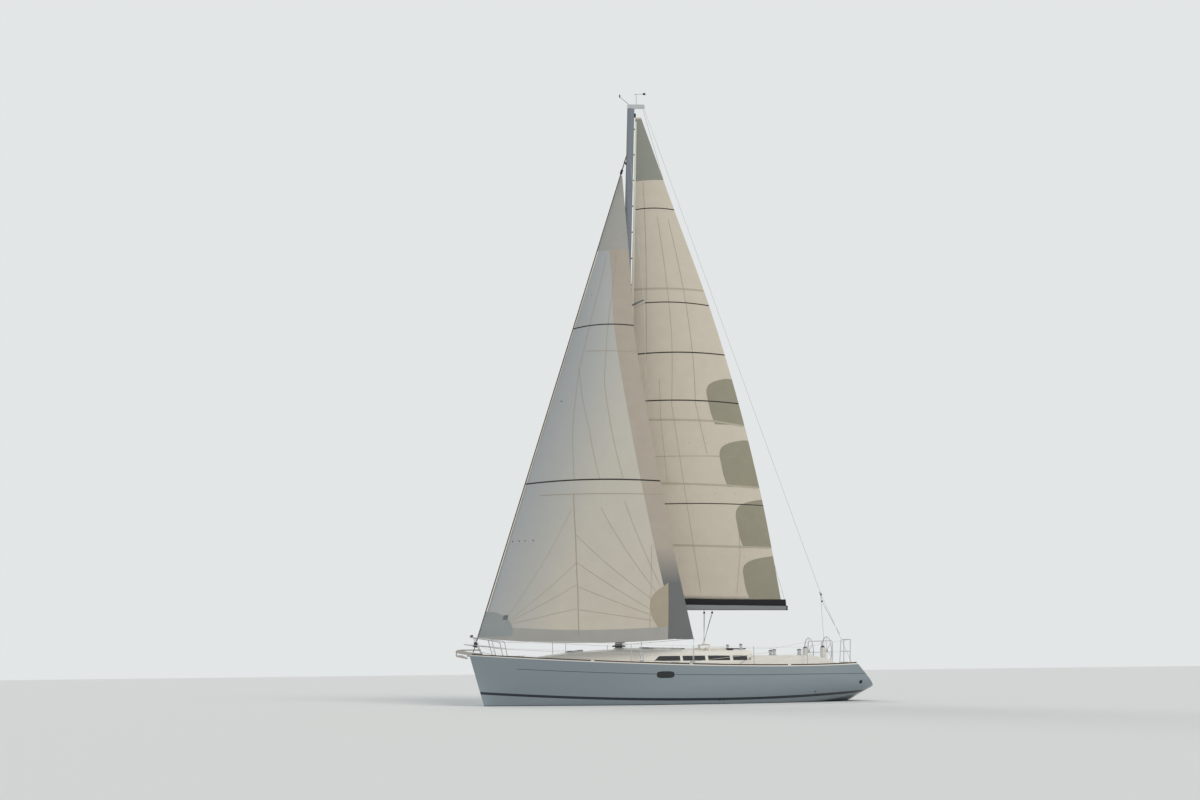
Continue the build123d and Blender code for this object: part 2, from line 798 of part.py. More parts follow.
# Grab rails on the coachroof
# columns: points of the port one from forward to aft, then its middle post
grab_rail_points = ((960, 700, 1760), (920, 700, 1885), (-150, 740, 1858), (-190, 740, 1700))
grab_rail_post = ((390, 720, 1700), (390, 720, 1868))
grab_rail_radius = 12
with BuildPart() as grab_rails:
    port_rail = tube(grab_rail_points, grab_rail_radius, 30)
    port_post = rod(*grab_rail_post, grab_rail_radius)
    for piece in (port_rail, port_post):
        add(piece)
        mirror(piece, about=Plane.XZ)
    add(roof_outside, mode=Mode.SUBTRACT)
grab_rails.part.label = "grab_rails"
export_step(grab_rails.part, "parts/grab_rails.step")

# Steering pedestals
with BuildPart() as steering_pedestals:
    for side in (-1, 1):
        y = side * wheel_place[1]
        with BuildSketch(Plane.XY.offset(helm_sole)):
            with Locations((pedestal_place, y)):
                RectangleRounded(180, 300, 60)
        with BuildSketch(Plane.XY.offset(1840)):
            with Locations((pedestal_place, y)):
                RectangleRounded(150, 220, 60)
        loft()
        add(rod((pedestal_place, y, wheel_place[2]), (wheel_place[0] + 26, y, wheel_place[2]), 40))
        add(rod((pedestal_place, y, wheel_place[2]), (wheel_place[0] - 24, y, wheel_place[2]), shaft_radius))
steering_pedestals.part.label = "steering_pedestals"
export_step(steering_pedestals.part, "parts/steering_pedestals.step")

# Wheels with six spokes
for name, side in (("wheel_port", 1), ("wheel_starboard", -1)):
    y = side * wheel_place[1]
    with BuildPart() as wheel:
        with BuildSketch(Plane.XZ.offset(-y)):
            with Locations((wheel_place[0], wheel_place[2] + wheel_radius)):
                RectangleRounded(wheel_tube * 2, wheel_tube * 1.8, wheel_tube * 0.7)
        revolve(axis=Axis((0, y, wheel_place[2]), (1, 0, 0)))
        for spoke in range(6):
            turn = radians(60 * spoke)
            rim = wheel_radius - wheel_tube * 0.3
            add(rod((wheel_place[0], y + 30 * sin(turn), wheel_place[2] + 30 * cos(turn)),
                    (wheel_place[0], y + rim * sin(turn), wheel_place[2] + rim * cos(turn)), 8))
        with Locations(Location((wheel_place[0], y, wheel_place[2]), (0, 90, 0))):
            Cylinder(42, 50)
            Cylinder(shaft_radius + fit_gap, 80, mode=Mode.SUBTRACT)
    wheel.part.label = name
    export_step(wheel.part, f"parts/{name}.step")

# Mast
mast_plane = Plane(
    origin=(mast_foot[0], 0, mast_foot[1]), x_dir=(cos(radians(mast_rake)), 0, sin(radians(mast_rake))),
    z_dir=(-sin(radians(mast_rake)), 0, cos(radians(mast_rake))),
)
with BuildPart() as mast:
    with BuildSketch(mast_plane):
        Ellipse(mast_depth / 2, mast_width / 2)
    extrude(amount=(mast_top - mast_foot[1]) / cos(radians(mast_rake)))
mast.part.label = "mast"
export_step(mast.part, "parts/mast.step")

with BuildPart() as mast_step:
    with BuildSketch(mast_plane):
        RectangleRounded(360, 230, 60)
    extrude(amount=-110)
    add(roof_outside, mode=Mode.SUBTRACT)
mast_step.part.label = "mast_step"
export_step(mast_step.part, "parts/mast_step.step")

# Spreaders, swept aft
with BuildPart() as spreaders:
    for tip in (lower_tip, upper_tip):
        root = (mast_x(tip[2] - 60), 40, tip[2] - 60)
        direction = Vector(*tip) - Vector(*root)
        for side in (-1, 1):
            way = Vector(direction.X, side * direction.Y, direction.Z)
            with BuildSketch(Plane(origin=(root[0], side * root[1], root[2]), x_dir=(1, 0, 0), z_dir=way)):
                Ellipse(75, 17)
            with BuildSketch(Plane(origin=(tip[0], side * tip[1], tip[2]), x_dir=(1, 0, 0), z_dir=way)):
                Ellipse(48, 15)
            loft()
    add(mast.part, mode=Mode.SUBTRACT)
spreaders.part.label = "spreaders"
export_step(spreaders.part, "parts/spreaders.step")

# Shrouds outside the spreader tips
tip_clearance = 26
tip_ball = 18
with BuildPart() as shrouds:
    for side in (-1, 1):
        base = (chainplate[0], side * chainplate[1], chainplate[2])
        lower = (lower_tip[0], side * (lower_tip[1] + tip_clearance), lower_tip[2])
        upper = (upper_tip[0], side * (upper_tip[1] + tip_clearance), upper_tip[2])
        add(rod(base, lower, wire_radius))
        add(rod(lower, upper, wire_radius))
        add(rod(upper, (mast_x(hounds), side * 40, hounds), wire_radius))
        add(rod((base[0] - 110, base[1] - side * 20, base[2]), (mast_x(7600), side * 40, 7600), wire_radius))
        add(rod(lower, (mast_x(13800), side * 40, 13800), wire_radius))
        for joint in (lower, upper):
            with Locations([Vector(*joint)]):
                Sphere(tip_ball)
    add(mast.part, mode=Mode.SUBTRACT)
    add(spreaders.part, mode=Mode.SUBTRACT)
shrouds.part.label = "shrouds"
export_step(shrouds.part, "parts/shrouds.step")

with BuildPart() as chainplates:
    for side in (-1, 1):
        y = side * chainplate[1]
        add(block((1250, y - 32, 1340), (1450, y + 32, deck_height(1400, y) + 12)))
        add(block((1275, y - 10, 1340), (1425, y + 10, chainplate[2] - 3)))
    add(shell.part, mode=Mode.SUBTRACT)
chainplates.part.label = "chainplates"
export_step(chainplates.part, "parts/chainplates.step")

# Masthead crane and wind instruments
with BuildPart() as masthead_crane:
    with BuildSketch(Plane.XZ):
        with BuildLine():
            Polyline((mast_x(mast_top) + 128, 21690), (mast_x(mast_top) + 128, 21850), (640, 21890),
                     (590, 21860), (590, 21760), (900, 21740), (mast_x(mast_top) - 128, 21690), close=True)
        make_face()
    extrude(amount=50, both=True)
    add(mast.part, mode=Mode.SUBTRACT)
masthead_crane.part.label = "masthead_crane"
export_step(masthead_crane.part, "parts/masthead_crane.step")

# Bars of the wind sensor and the vane
# columns: start x and height, end x and height, radius
instrument_bars = (
    (1150, 21840, 1530, 22150, 7),
    (1530, 22120, 1530, 22230, 22),
    (900, 21840, 900, 22300, 6),
    (980, 22290, 560, 22330, 6),
)
with BuildPart() as wind_instruments:
    for start_x, start_z, end_x, end_z, radius in instrument_bars:
        add(rod((start_x, 0, start_z), (end_x, 0, end_z), radius))
    add(block((540, -2, 22290), (640, 2, 22370)))
    add(masthead_crane.part, mode=Mode.SUBTRACT)
wind_instruments.part.label = "wind_instruments"
export_step(wind_instruments.part, "parts/wind_instruments.step")

# Forestay foil on its furling drum
stay_foot = Vector(forestay_foot[0], 0, forestay_foot[1])
stay_head = Vector(mast_x(forestay_top) + mast_depth / 2 - 40, 0, forestay_top)
stay_way = (stay_head - stay_foot).normalized()
drum_low = stay_foot + stay_way * drum_start
drum_high = drum_low + stay_way * drum_height
with BuildPart() as furling_drum:
    add(rod(tuple(stay_foot), tuple(drum_low), 14))
    add(rod(tuple(drum_low), tuple(drum_high), drum_radius - 30))
    add(rod(tuple(drum_low), tuple(drum_low + stay_way * 10), drum_radius))
    add(rod(tuple(drum_high - stay_way * 10), tuple(drum_high), drum_radius))
    add(bow_roller.part, mode=Mode.SUBTRACT)
    add(anchor.part, mode=Mode.SUBTRACT)
furling_drum.part.label = "furling_drum"
export_step(furling_drum.part, "parts/furling_drum.step")

with BuildPart() as forestay:
    add(rod(tuple(drum_high), tuple(stay_head), foil_radius))
    add(mast.part, mode=Mode.SUBTRACT)
forestay.part.label = "forestay"
export_step(forestay.part, "parts/forestay.step")

# Backstay with its bridle to the quarters
backstay_head = (620, 0, 21790)
split = (-5580, 0, 3780)
quarter = (-6150, 1300, 1270)
with BuildPart() as backstay:
    add(rod(backstay_head, split, wire_radius))
    add(rod(split, quarter, wire_radius))
    add(rod(split, other_side(quarter), wire_radius))
    add(rod((split[0] + 10, -16, split[2]), (split[0] + 10, 16, split[2]), 40))
    add(masthead_crane.part, mode=Mode.SUBTRACT)
    add(shell.part, mode=Mode.SUBTRACT)
backstay.part.label = "backstay"
export_step(backstay.part, "parts/backstay.step")


def sail_face(height, luff, leech, camber):
    """Thin crescent across a sail, bulging to port."""
    across = Vector(leech[0] - luff[0], leech[1] - luff[1], 0)
    side = Vector(across.Y, -across.X, 0).normalized()
    half = side * (sail_thickness / 2)
    start = Vector(luff[0], luff[1], 0)
    end = Vector(leech[0], leech[1], 0)
    middle = (start + end) / 2 + side * (camber * across.length)
    with BuildSketch(Plane.XY.offset(height)) as section:
        with BuildLine():
            ThreePointArc(start + half, middle + half, end + half)
            Line(end + half, end - half)
            ThreePointArc(end - half, middle - half, start - half)
            Line(start - half, start + half)
        make_face()
    return section.sketch.faces()[0]


# Mainsail sections
# columns: height, chord, angle to port, camber
main_sections = (
    (3480, 5500, 7.5, 0.010),
    (6850, 4820, 9.5, 0.085),
    (10430, 3920, 12.0, 0.095),
    (14020, 2820, 15.5, 0.10),
    (17620, 1530, 18.5, 0.09),
    (21370, 210, 20.0, 0.02),
)
# Genoa sections
# columns: height, leech x, leech y, camber
genoa_sections = (
    (2020, -480, 1400, 0.085),
    (4820, 160, 1600, 0.100),
    (7550, 670, 1600, 0.110),
    (10280, 1050, 1300, 0.120),
    (13170, 1350, 900, 0.120),
    (14800, 1335, 560, 0.100),
    (17000, 1410, 300, 0.070),
    (19060, 1500, 70, 0.03),
)
luff_gap = foil_radius + 7.2


def stay_x(z):
    """Forestay at a height."""
    share = (z - stay_foot.Z) / (stay_head.Z - stay_foot.Z)
    return stay_foot.X + share * (stay_head.X - stay_foot.X)


with BuildPart() as genoa:
    loft(sections=[
        sail_face(height, (stay_x(height) - luff_gap, 0), (leech_x, leech_y), camber)
        for height, leech_x, leech_y, camber in genoa_sections
    ])
    # Round of the foot
    with BuildSketch(Plane.XZ):
        with BuildLine():
            ThreePointArc((7000, 2290), (3200, 2050), (-700, 2170))
            Polyline((-700, 2170), (-700, 1500), (7000, 1500), (7000, 2290))
        make_face()
    extrude(amount=3000, both=True, mode=Mode.SUBTRACT)
genoa.part.label = "genoa"
export_step(genoa.part, "parts/genoa.step")

# Gooseneck and vang brackets on the mast, with their pins
gooseneck = Plane(
    origin=(axis_x(boom_height), 0, boom_height), x_dir=(-cos(radians(mast_rake)), 0, -sin(radians(mast_rake))),
    z_dir=mast_plane.z_dir,
)
vang_foot = Plane(origin=(axis_x(vang_height), 0, vang_height), x_dir=gooseneck.x_dir, z_dir=gooseneck.z_dir)
lug_thickness = 14
lug_gap = 0.4
with BuildPart() as mast_brackets:
    for place in (gooseneck, vang_foot):
        for low in (-eye_height / 2 - lug_gap - lug_thickness, eye_height / 2 + lug_gap):
            with BuildSketch(place.offset(low)):
                Circle(30)
                with Locations((-40, 0)):
                    Rectangle(80, 60)
            extrude(amount=lug_thickness)
        with BuildSketch(place.offset(-eye_height / 2 - 20)):
            Circle(pin_radius)
        extrude(amount=eye_height + 40)
    add(mast.part, mode=Mode.SUBTRACT)
mast_brackets.part.label = "mast_brackets"
export_step(mast_brackets.part, "parts/mast_brackets.step")

# Boom with its gooseneck eye
boom_way = Vector(-cos(radians(boom_angle)), sin(radians(boom_angle)), 0)
boom_axis = Vector(axis_x(boom_height), 0, boom_height)
boom_end_drop = 85
with BuildPart() as boom:
    near = boom_axis + boom_way * boom_start
    far = boom_axis + boom_way * boom_length - Vector(0, 0, boom_end_drop)
    with BuildSketch(Plane(origin=near, x_dir=(-boom_way.Y, boom_way.X, 0), z_dir=boom_way)):
        RectangleRounded(130, 235, 50)
    with BuildSketch(Plane(origin=far, x_dir=(-boom_way.Y, boom_way.X, 0), z_dir=boom_way)):
        RectangleRounded(110, 160, 45)
    loft()
    with BuildSketch(gooseneck.offset(-eye_height / 2)):
        Circle(28)
    extrude(amount=eye_height)
    add(rod(tuple(boom_axis + boom_way * 14), tuple(near + boom_way * 20), 24))
    with BuildSketch(gooseneck.offset(-eye_height / 2 - 5)):
        Circle(pin_radius + fit_gap)
    extrude(amount=eye_height + 10, mode=Mode.SUBTRACT)
boom.part.label = "boom"
export_step(boom.part, "parts/boom.step")

# Vang strut under the boom
vang_axis = Vector(axis_x(vang_height), 0, vang_height)
vang_head = boom_axis + boom_way * vang_reach - Vector(0, 0, 60)
with BuildPart() as vang:
    add(rod(tuple(vang_axis + (vang_head - vang_axis).normalized() * 12), tuple(vang_head), 22))
    add(rod(tuple(vang_axis + (vang_head - vang_axis) * 0.08), tuple(vang_axis + (vang_head - vang_axis) * 0.55), 30))
    with BuildSketch(vang_foot.offset(-eye_height / 2)):
        Circle(28)
    extrude(amount=eye_height)
    for low in (-eye_height / 2 - 40, eye_height / 2):
        with BuildSketch(vang_foot.offset(low)):
            Circle(45)
        extrude(amount=40, mode=Mode.SUBTRACT)
    with BuildSketch(vang_foot.offset(-eye_height / 2 - 5)):
        Circle(pin_radius + fit_gap)
    extrude(amount=eye_height + 10, mode=Mode.SUBTRACT)
    add(boom.part, mode=Mode.SUBTRACT)
vang.part.label = "vang"
export_step(vang.part, "parts/vang.step")

# Blocks of the mainsheet under the boom
sheet_reaches = (2780, 3060)
block_drop = 225
block_radius = 34
block_half_width = 18
hanger_length = 120
hanger_radius = 7
with BuildPart() as boom_blocks:
    for reach in sheet_reaches:
        hang = boom_axis + boom_way * reach - Vector(0, 0, block_drop)
        add(rod(tuple(hang), tuple(hang + Vector(0, 0, hanger_length)), hanger_radius))
        add(rod(tuple(hang - Vector(0, block_half_width, 0)), tuple(hang + Vector(0, block_half_width, 0)),
                block_radius))
    add(boom.part, mode=Mode.SUBTRACT)
boom_blocks.part.label = "boom_blocks"
export_step(boom_blocks.part, "parts/boom_blocks.step")

# Bag that carries the lowered mainsail on the boom
# columns: distance along the boom, width, height over the boom's axis line
bag_rows = ((170, 150, 400), (2600, 180, 330), (5450, 110, 215))
with BuildPart() as sail_bag:
    for reach, width, top in bag_rows:
        place = boom_axis + boom_way * reach
        with BuildSketch(Plane(origin=place, x_dir=(-boom_way.Y, boom_way.X, 0), z_dir=boom_way)):
            with BuildLine():
                Polyline((-width / 2, 40), (-width / 2, top * 0.6), (0, top), (width / 2, top * 0.6),
                         (width / 2, 40), close=True)
            make_face()
    loft()
    add(boom.part, mode=Mode.SUBTRACT)
sail_bag.part.label = "sail_bag"
export_step(sail_bag.part, "parts/sail_bag.step")

with BuildPart() as mainsail:
    faces = []
    for height, chord, angle, camber in main_sections:
        luff = (axis_x(height), 0)
        leech = (luff[0] - chord * cos(radians(angle)), chord * sin(radians(angle)))
        faces.append(sail_face(height, luff, leech, camber))
    loft(sections=faces)
    add(sail_bag.part, mode=Mode.SUBTRACT)
    add(boom.part, mode=Mode.SUBTRACT)
mainsail.part.label = "mainsail"
export_step(mainsail.part, "parts/mainsail.step")
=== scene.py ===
"""Looks of a sloop-rigged cruising yacht under sail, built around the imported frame.

Metres, X forward, Y to port, Z up. The water lies at z = 0, where the floor stands.
"""
import math

import bmesh
import bpy
from mathutils import Matrix, Vector


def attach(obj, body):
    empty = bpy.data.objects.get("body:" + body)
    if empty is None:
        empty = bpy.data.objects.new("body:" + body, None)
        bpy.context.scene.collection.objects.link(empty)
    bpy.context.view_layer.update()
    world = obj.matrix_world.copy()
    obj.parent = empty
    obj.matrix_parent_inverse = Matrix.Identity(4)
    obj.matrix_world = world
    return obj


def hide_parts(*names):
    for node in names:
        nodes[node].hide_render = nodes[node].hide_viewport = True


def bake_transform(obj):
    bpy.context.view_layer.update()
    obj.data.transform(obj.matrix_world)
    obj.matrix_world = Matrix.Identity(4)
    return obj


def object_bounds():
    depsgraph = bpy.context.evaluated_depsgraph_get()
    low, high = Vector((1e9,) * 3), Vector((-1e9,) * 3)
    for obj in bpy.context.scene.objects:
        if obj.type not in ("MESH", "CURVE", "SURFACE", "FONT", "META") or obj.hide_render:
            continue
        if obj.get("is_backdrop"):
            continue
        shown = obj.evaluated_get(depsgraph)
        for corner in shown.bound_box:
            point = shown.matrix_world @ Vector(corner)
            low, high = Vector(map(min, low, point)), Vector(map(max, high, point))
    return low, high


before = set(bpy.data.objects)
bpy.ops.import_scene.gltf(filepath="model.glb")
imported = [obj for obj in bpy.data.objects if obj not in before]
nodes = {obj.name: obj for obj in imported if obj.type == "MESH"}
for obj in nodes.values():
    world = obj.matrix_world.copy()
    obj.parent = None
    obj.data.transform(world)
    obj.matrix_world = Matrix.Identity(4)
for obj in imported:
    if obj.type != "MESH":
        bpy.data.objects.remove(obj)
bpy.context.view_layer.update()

# Hull shell. Glass-fibre laminate with a white gelcoat sprayed into a polished mould, so it is
# smooth and shows a soft gloss; its side lies in shade, and that shade is painted into its colour
# as a blue grey. A dark boot stripe rises towards both ends, a thin cove stripe runs below the
# deck edge, and antifouling paint covers the part under water.


def linear(colour):
    """sRGB hex value as linear red, green, blue and alpha."""
    parts = [int(colour[i:i + 2], 16) / 255 for i in (1, 3, 5)]
    return [p / 12.92 if p <= 0.04045 else ((p + 0.055) / 1.055) ** 2.4 for p in parts] + [1.0]


def new_material(name, colour, roughness, metallic=0.0, coat=0.0, ior=1.5):
    """A material with its shader set, and the tree to add a pattern to."""
    material = bpy.data.materials.new(name)
    material.use_nodes = True
    shader = material.node_tree.nodes["Principled BSDF"]
    shader.inputs["Base Color"].default_value = linear(colour)
    shader.inputs["Roughness"].default_value = roughness
    shader.inputs["Metallic"].default_value = metallic
    shader.inputs["Coat Weight"].default_value = coat
    if not metallic:
        shader.inputs["IOR"].default_value = ior
    return material


def add_node(material, kind, settings=None, values=None, links=None):
    """Adds a node to a material or world, sets its properties and values, and links sockets to it."""
    tree = material.node_tree
    node = tree.nodes.new(kind)
    for key, value in (settings or {}).items():
        setattr(node, key, value)
    for key, value in (values or {}).items():
        node.inputs[key].default_value = value
    for key, socket in (links or {}).items():
        tree.links.new(socket, node.inputs[key])
    return node


def math_node(material, operation, *terms, clamp=False):
    """Sum, product or other result of numbers and sockets, as a socket."""
    node = add_node(material, "ShaderNodeMath", {"operation": operation, "use_clamp": clamp})
    for place, term in enumerate(terms):
        if isinstance(term, (int, float)):
            node.inputs[place].default_value = term
        else:
            material.node_tree.links.new(term, node.inputs[place])
    return node.outputs[0]


def link_to_shader(material, socket, name):
    """Feeds a socket into one input of the material's shader."""
    shader = material.node_tree.nodes["Principled BSDF"]
    material.node_tree.links.new(socket, shader.inputs[name])


def dress(names, material):
    """Gives CAD nodes their material."""
    for name in names:
        mesh = nodes[name].data
        mesh.materials.clear()
        mesh.materials.append(material)


# Painted shade: the white gelcoat is drawn darker, in blue grey
hull_colour_with_painted_shade = "#87939b"
antifouling_colour = "#26333f"
hull_gelcoat = new_material("hull_gelcoat", hull_colour_with_painted_shade, 0.22, coat=0.3)
place = add_node(hull_gelcoat, "ShaderNodeTexCoord")
axes = add_node(hull_gelcoat, "ShaderNodeSeparateXYZ", links={0: place.outputs["Object"]})


def height_curve(material, along, middle, middle_height, fore_bend, aft_bend):
    """Height of a stripe that is lowest at one station and rises to both ends."""
    run = math_node(material, "SUBTRACT", along, middle)
    total = middle_height
    for limit, bend in (("MAXIMUM", fore_bend), ("MINIMUM", aft_bend)):
        reach = math_node(material, limit, run, 0.0)
        square = math_node(material, "MULTIPLY", reach, reach)
        total = math_node(material, "ADD", total, math_node(material, "MULTIPLY", square, bend))
    return total


def stripe_mask(material, height, centre, half_width, soft=0.004):
    """1 inside a stripe around a height, 0 outside it."""
    away = math_node(material, "ABSOLUTE", math_node(material, "SUBTRACT", height, centre))
    mask = add_node(material, "ShaderNodeMapRange", {"clamp": True},
                    {"From Min": half_width - soft, "From Max": half_width + soft,
                     "To Min": 1.0, "To Max": 0.0},
                    {"Value": away})
    return mask.outputs[0]


def paint(material, under, colour, mask):
    """Lays a colour over what is under it where the mask is 1. Returns the mixed colour's socket."""
    values = {7: linear(colour)}
    links = {0: mask}
    if isinstance(under, str):
        values[6] = linear(under)
    else:
        links[6] = under
    return add_node(material, "ShaderNodeMix", {"data_type": "RGBA"}, values, links).outputs[2]


along, height = axes.outputs["X"], axes.outputs["Z"]
boot_half_width, cove_half_width = 0.042, 0.011
boot_centre = height_curve(hull_gelcoat, along, middle=-1.2, middle_height=0.165, fore_bend=0.0044,
                           aft_bend=0.0062)
cove_centre = height_curve(hull_gelcoat, along, middle=-3.2, middle_height=0.945, fore_bend=0.0036,
                           aft_bend=0.0)
boot_stripe = stripe_mask(hull_gelcoat, height, boot_centre, boot_half_width)
hull_paint = paint(hull_gelcoat, hull_colour_with_painted_shade, "#1d2630", boot_stripe)
# The cove stripe starts short of the bow
cove_bow_end = 5.5
cove_stripe = stripe_mask(hull_gelcoat, height, cove_centre, cove_half_width)
cove_length = math_node(hull_gelcoat, "LESS_THAN", along, cove_bow_end)
cove_stripe = math_node(hull_gelcoat, "MULTIPLY", cove_stripe, cove_length)
hull_paint = paint(hull_gelcoat, hull_paint, "#4f5c66", cove_stripe)
antifouling_top = 0.02
antifouling = math_node(hull_gelcoat, "LESS_THAN", height, antifouling_top)
hull_paint = paint(hull_gelcoat, hull_paint, antifouling_colour, antifouling)
link_to_shader(hull_gelcoat, hull_paint, "Base Color")
dress(["hull"], hull_gelcoat)

# Deck, coachroof and cockpit. One white moulding, satin, with a fine moulded grip drawn as a
# bump over all of it.
deck_gelcoat = new_material("deck_gelcoat", "#e6e4df", 0.38)
place = add_node(deck_gelcoat, "ShaderNodeTexCoord")
# Grip of 3 mm pyramids, drawn as an 8 mm grain so that it shows
grip_grain = 8
grain = add_node(deck_gelcoat, "ShaderNodeTexVoronoi", {"feature": "F1"}, {"Scale": 1000 / grip_grain},
                 {"Vector": place.outputs["Object"]})
relief = add_node(deck_gelcoat, "ShaderNodeBump", None, {"Strength": 0.12, "Distance": 0.001},
                  {"Height": grain.outputs["Distance"]})
link_to_shader(deck_gelcoat, relief.outputs["Normal"], "Normal")
dress(["deck", "mainsheet_traveller", "steering_pedestals", "anchor_locker_lid", "seat_locker_lid_port",
       "seat_locker_lid_starboard"], deck_gelcoat)


def clear_selection():
    """Leaves nothing selected."""
    bpy.ops.object.select_all(action="DESELECT")


def keep(obj, name, body, material):
    """Names a finished piece, bakes its place into its mesh and lets it ride on its body."""
    clear_selection()
    obj.select_set(True)
    bpy.context.view_layer.objects.active = obj
    bpy.ops.object.transform_apply(location=True, rotation=True, scale=True)
    obj.name = name
    obj.data.materials.clear()
    obj.data.materials.append(material)
    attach(obj, body)
    return obj


def join_all(pieces):
    """Joins pieces into the first one."""
    clear_selection()
    for piece in pieces:
        piece.select_set(True)
    bpy.context.view_layer.objects.active = pieces[0]
    if len(pieces) > 1:
        bpy.ops.object.join()
    return bpy.context.active_object


def soften(width, segments=2):
    """Rounds the edges of the active piece."""
    bevel = bpy.context.active_object.modifiers.new("edges", "BEVEL")
    bevel.width = width
    bevel.segments = segments
    bpy.ops.object.modifier_apply(modifier=bevel.name)


def box_piece(centre, size, bevel=0.0):
    """A box at its place, with rounded edges."""
    clear_selection()
    bpy.ops.mesh.primitive_cube_add(size=1, location=centre)
    piece = bpy.context.active_object
    piece.scale = size
    bpy.ops.object.transform_apply(location=True, rotation=True, scale=True)
    if bevel:
        soften(bevel)
    return piece


def round_piece(start, end, radius, bevel=0.0, sides=20):
    """A round bar or disc between two points."""
    clear_selection()
    start, end = Vector(start), Vector(end)
    way = end - start
    bpy.ops.mesh.primitive_cylinder_add(vertices=sides, radius=radius, depth=way.length)
    piece = bpy.context.active_object
    turn = way.to_track_quat("Z", "Y").to_matrix().to_4x4()
    piece.matrix_world = Matrix.Translation((start + end) / 2) @ turn
    bpy.ops.object.transform_apply(location=True, rotation=True, scale=True)
    if bevel:
        soften(bevel)
    bpy.ops.object.shade_smooth_by_angle(angle=math.radians(40))
    return piece


def ball_piece(centre, size):
    """A rounded lump of three half sizes."""
    clear_selection()
    bpy.ops.mesh.primitive_uv_sphere_add(segments=24, ring_count=14, radius=1, location=centre)
    piece = bpy.context.active_object
    piece.scale = size
    bpy.ops.object.transform_apply(location=True, rotation=True, scale=True)
    bpy.ops.object.shade_smooth()
    return piece


def ring_piece(centre, axis, radius, thickness, sides=40):
    """A round ring about an axis."""
    clear_selection()
    bpy.ops.mesh.primitive_torus_add(major_radius=radius, minor_radius=thickness, major_segments=sides,
                                     minor_segments=10)
    piece = bpy.context.active_object
    turn = Vector(axis).to_track_quat("Z", "Y").to_matrix().to_4x4()
    piece.matrix_world = Matrix.Translation(centre) @ turn
    bpy.ops.object.transform_apply(location=True, rotation=True, scale=True)
    bpy.ops.object.shade_smooth()
    return piece


def line_piece(points, radius):
    """A rope or wire through a list of points, closed at its ends."""
    clear_selection()
    curve = bpy.data.curves.new("line", "CURVE")
    curve.dimensions = "3D"
    curve.bevel_depth = radius
    curve.bevel_resolution = 3
    curve.use_fill_caps = True
    spline = curve.splines.new("POLY")
    spline.points.add(len(points) - 1)
    for knot, point in zip(spline.points, points):
        knot.co = (*point, 1)
    piece = bpy.data.objects.new("line", curve)
    bpy.context.scene.collection.objects.link(piece)
    piece.select_set(True)
    bpy.context.view_layer.objects.active = piece
    bpy.ops.object.convert(target="MESH")
    piece = bpy.context.active_object
    bpy.ops.object.shade_smooth_by_angle(angle=math.radians(50))
    return piece


# Stainless steel of the rails, wires and fittings. Drawn 316 tube, polished with fine grit,
# so it mirrors its surroundings with a slight haze.
stainless = new_material("polished_stainless_steel", "#c9cbce", 0.2, metallic=1.0)
dress(["pulpit", "pushpits", "stanchions", "mooring_cleats", "shrouds", "chainplates", "backstay",
       "grab_rails", "mast_brackets", "winches"], stainless)

# Bow roller and anchor. Bent plate and forged steel, worn to a satin finish by the chain, so
# their highlights are broad and dull.
satin_steel = new_material("satin_stainless_steel", "#b3aeaa", 0.5, metallic=0.6)
dress(["bow_roller", "anchor"], satin_steel)

# Black acetal and nylon of blocks, drums and bases, moulded with a fine matt skin.
black_nylon = new_material("moulded_black_nylon", "#191a1c", 0.45)
dress(["furling_drum", "boom_blocks", "wind_instruments"], black_nylon)


def nylon_fitting(pieces, name, body="hull_body"):
    """Joins small black mouldings into one piece that rides on a body."""
    return keep(join_all(pieces), name, body, black_nylon)


# Mast step, masthead crane, genoa tracks and hatch frames. Extruded aluminium, satin
# anodised in silver, which gives it a pale soft sheen.
anodised_alloy = new_material("anodised_aluminium", "#c4c6c8", 0.34, metallic=0.85)
dress(["mast_step", "masthead_crane", "genoa_tracks", "hatch_frames"], anodised_alloy)

# Forestay foil. A slim aluminium extrusion anodised dark brown, the dark line of the luff.
foil_alloy = new_material("dark_foil_anodising", "#5f574f", 0.4, metallic=0.5)
dress(["forestay"], foil_alloy)

# Mast and spreaders. Extruded aluminium sections, drawn in a dark blue grey of painted shade,
# as they stand in shade against the bright sky.
mast_alloy = new_material("mast_painted_shade_alloy", "#7f868f", 0.4, metallic=0.3)
dress(["mast", "spreaders"], mast_alloy)

# Boom and vang. The same kind of extrusion in a lighter grey anodising, with a soft highlight
# along its side.
boom_alloy = new_material("boom_anodising", "#8d8f91", 0.38, metallic=0.7)
dress(["boom", "vang"], boom_alloy)

# Toe rails. Bronze-brown anodised aluminium along the deck edge, in four lengths a side.
rail_alloy = new_material("bronze_anodised_rail", "#54463c", 0.4, metallic=0.6)
dress(["toe_rails"], rail_alloy)

# Windows and hatch lids. Smoked acrylic, 10 mm thick, cast and polished: dark, with a hard
# clear gloss. The rooms behind it are unlit, so it is drawn nearly opaque.
smoked_acrylic = new_material("smoked_acrylic", "#14181b", 0.06, coat=0.6, ior=1.49)
dress(["coachroof_windows", "hull_windows", "companion_hatch", "roof_hatch_fore", "roof_hatch_aft",
       "fore_hatch"], smoked_acrylic)

# Keel, rudder and drive leg under water. Cast iron filled and painted with dark antifouling,
# rolled on, so it is matt. The rudder's blade has the same paint.
antifouling_paint = new_material("antifouling_paint", antifouling_colour, 0.7)
dress(["keel", "rudder"], antifouling_paint)
leg_paint = new_material("drive_leg_enamel", "#8d9396", 0.35)
dress(["saildrive_leg"], leg_paint)
bronze = new_material("cast_bronze", "#a17a44", 0.32, metallic=1.0)
dress(["propeller"], bronze)
engine_enamel = new_material("engine_enamel", "#3f6a5c", 0.4)
dress(["engine"], engine_enamel)

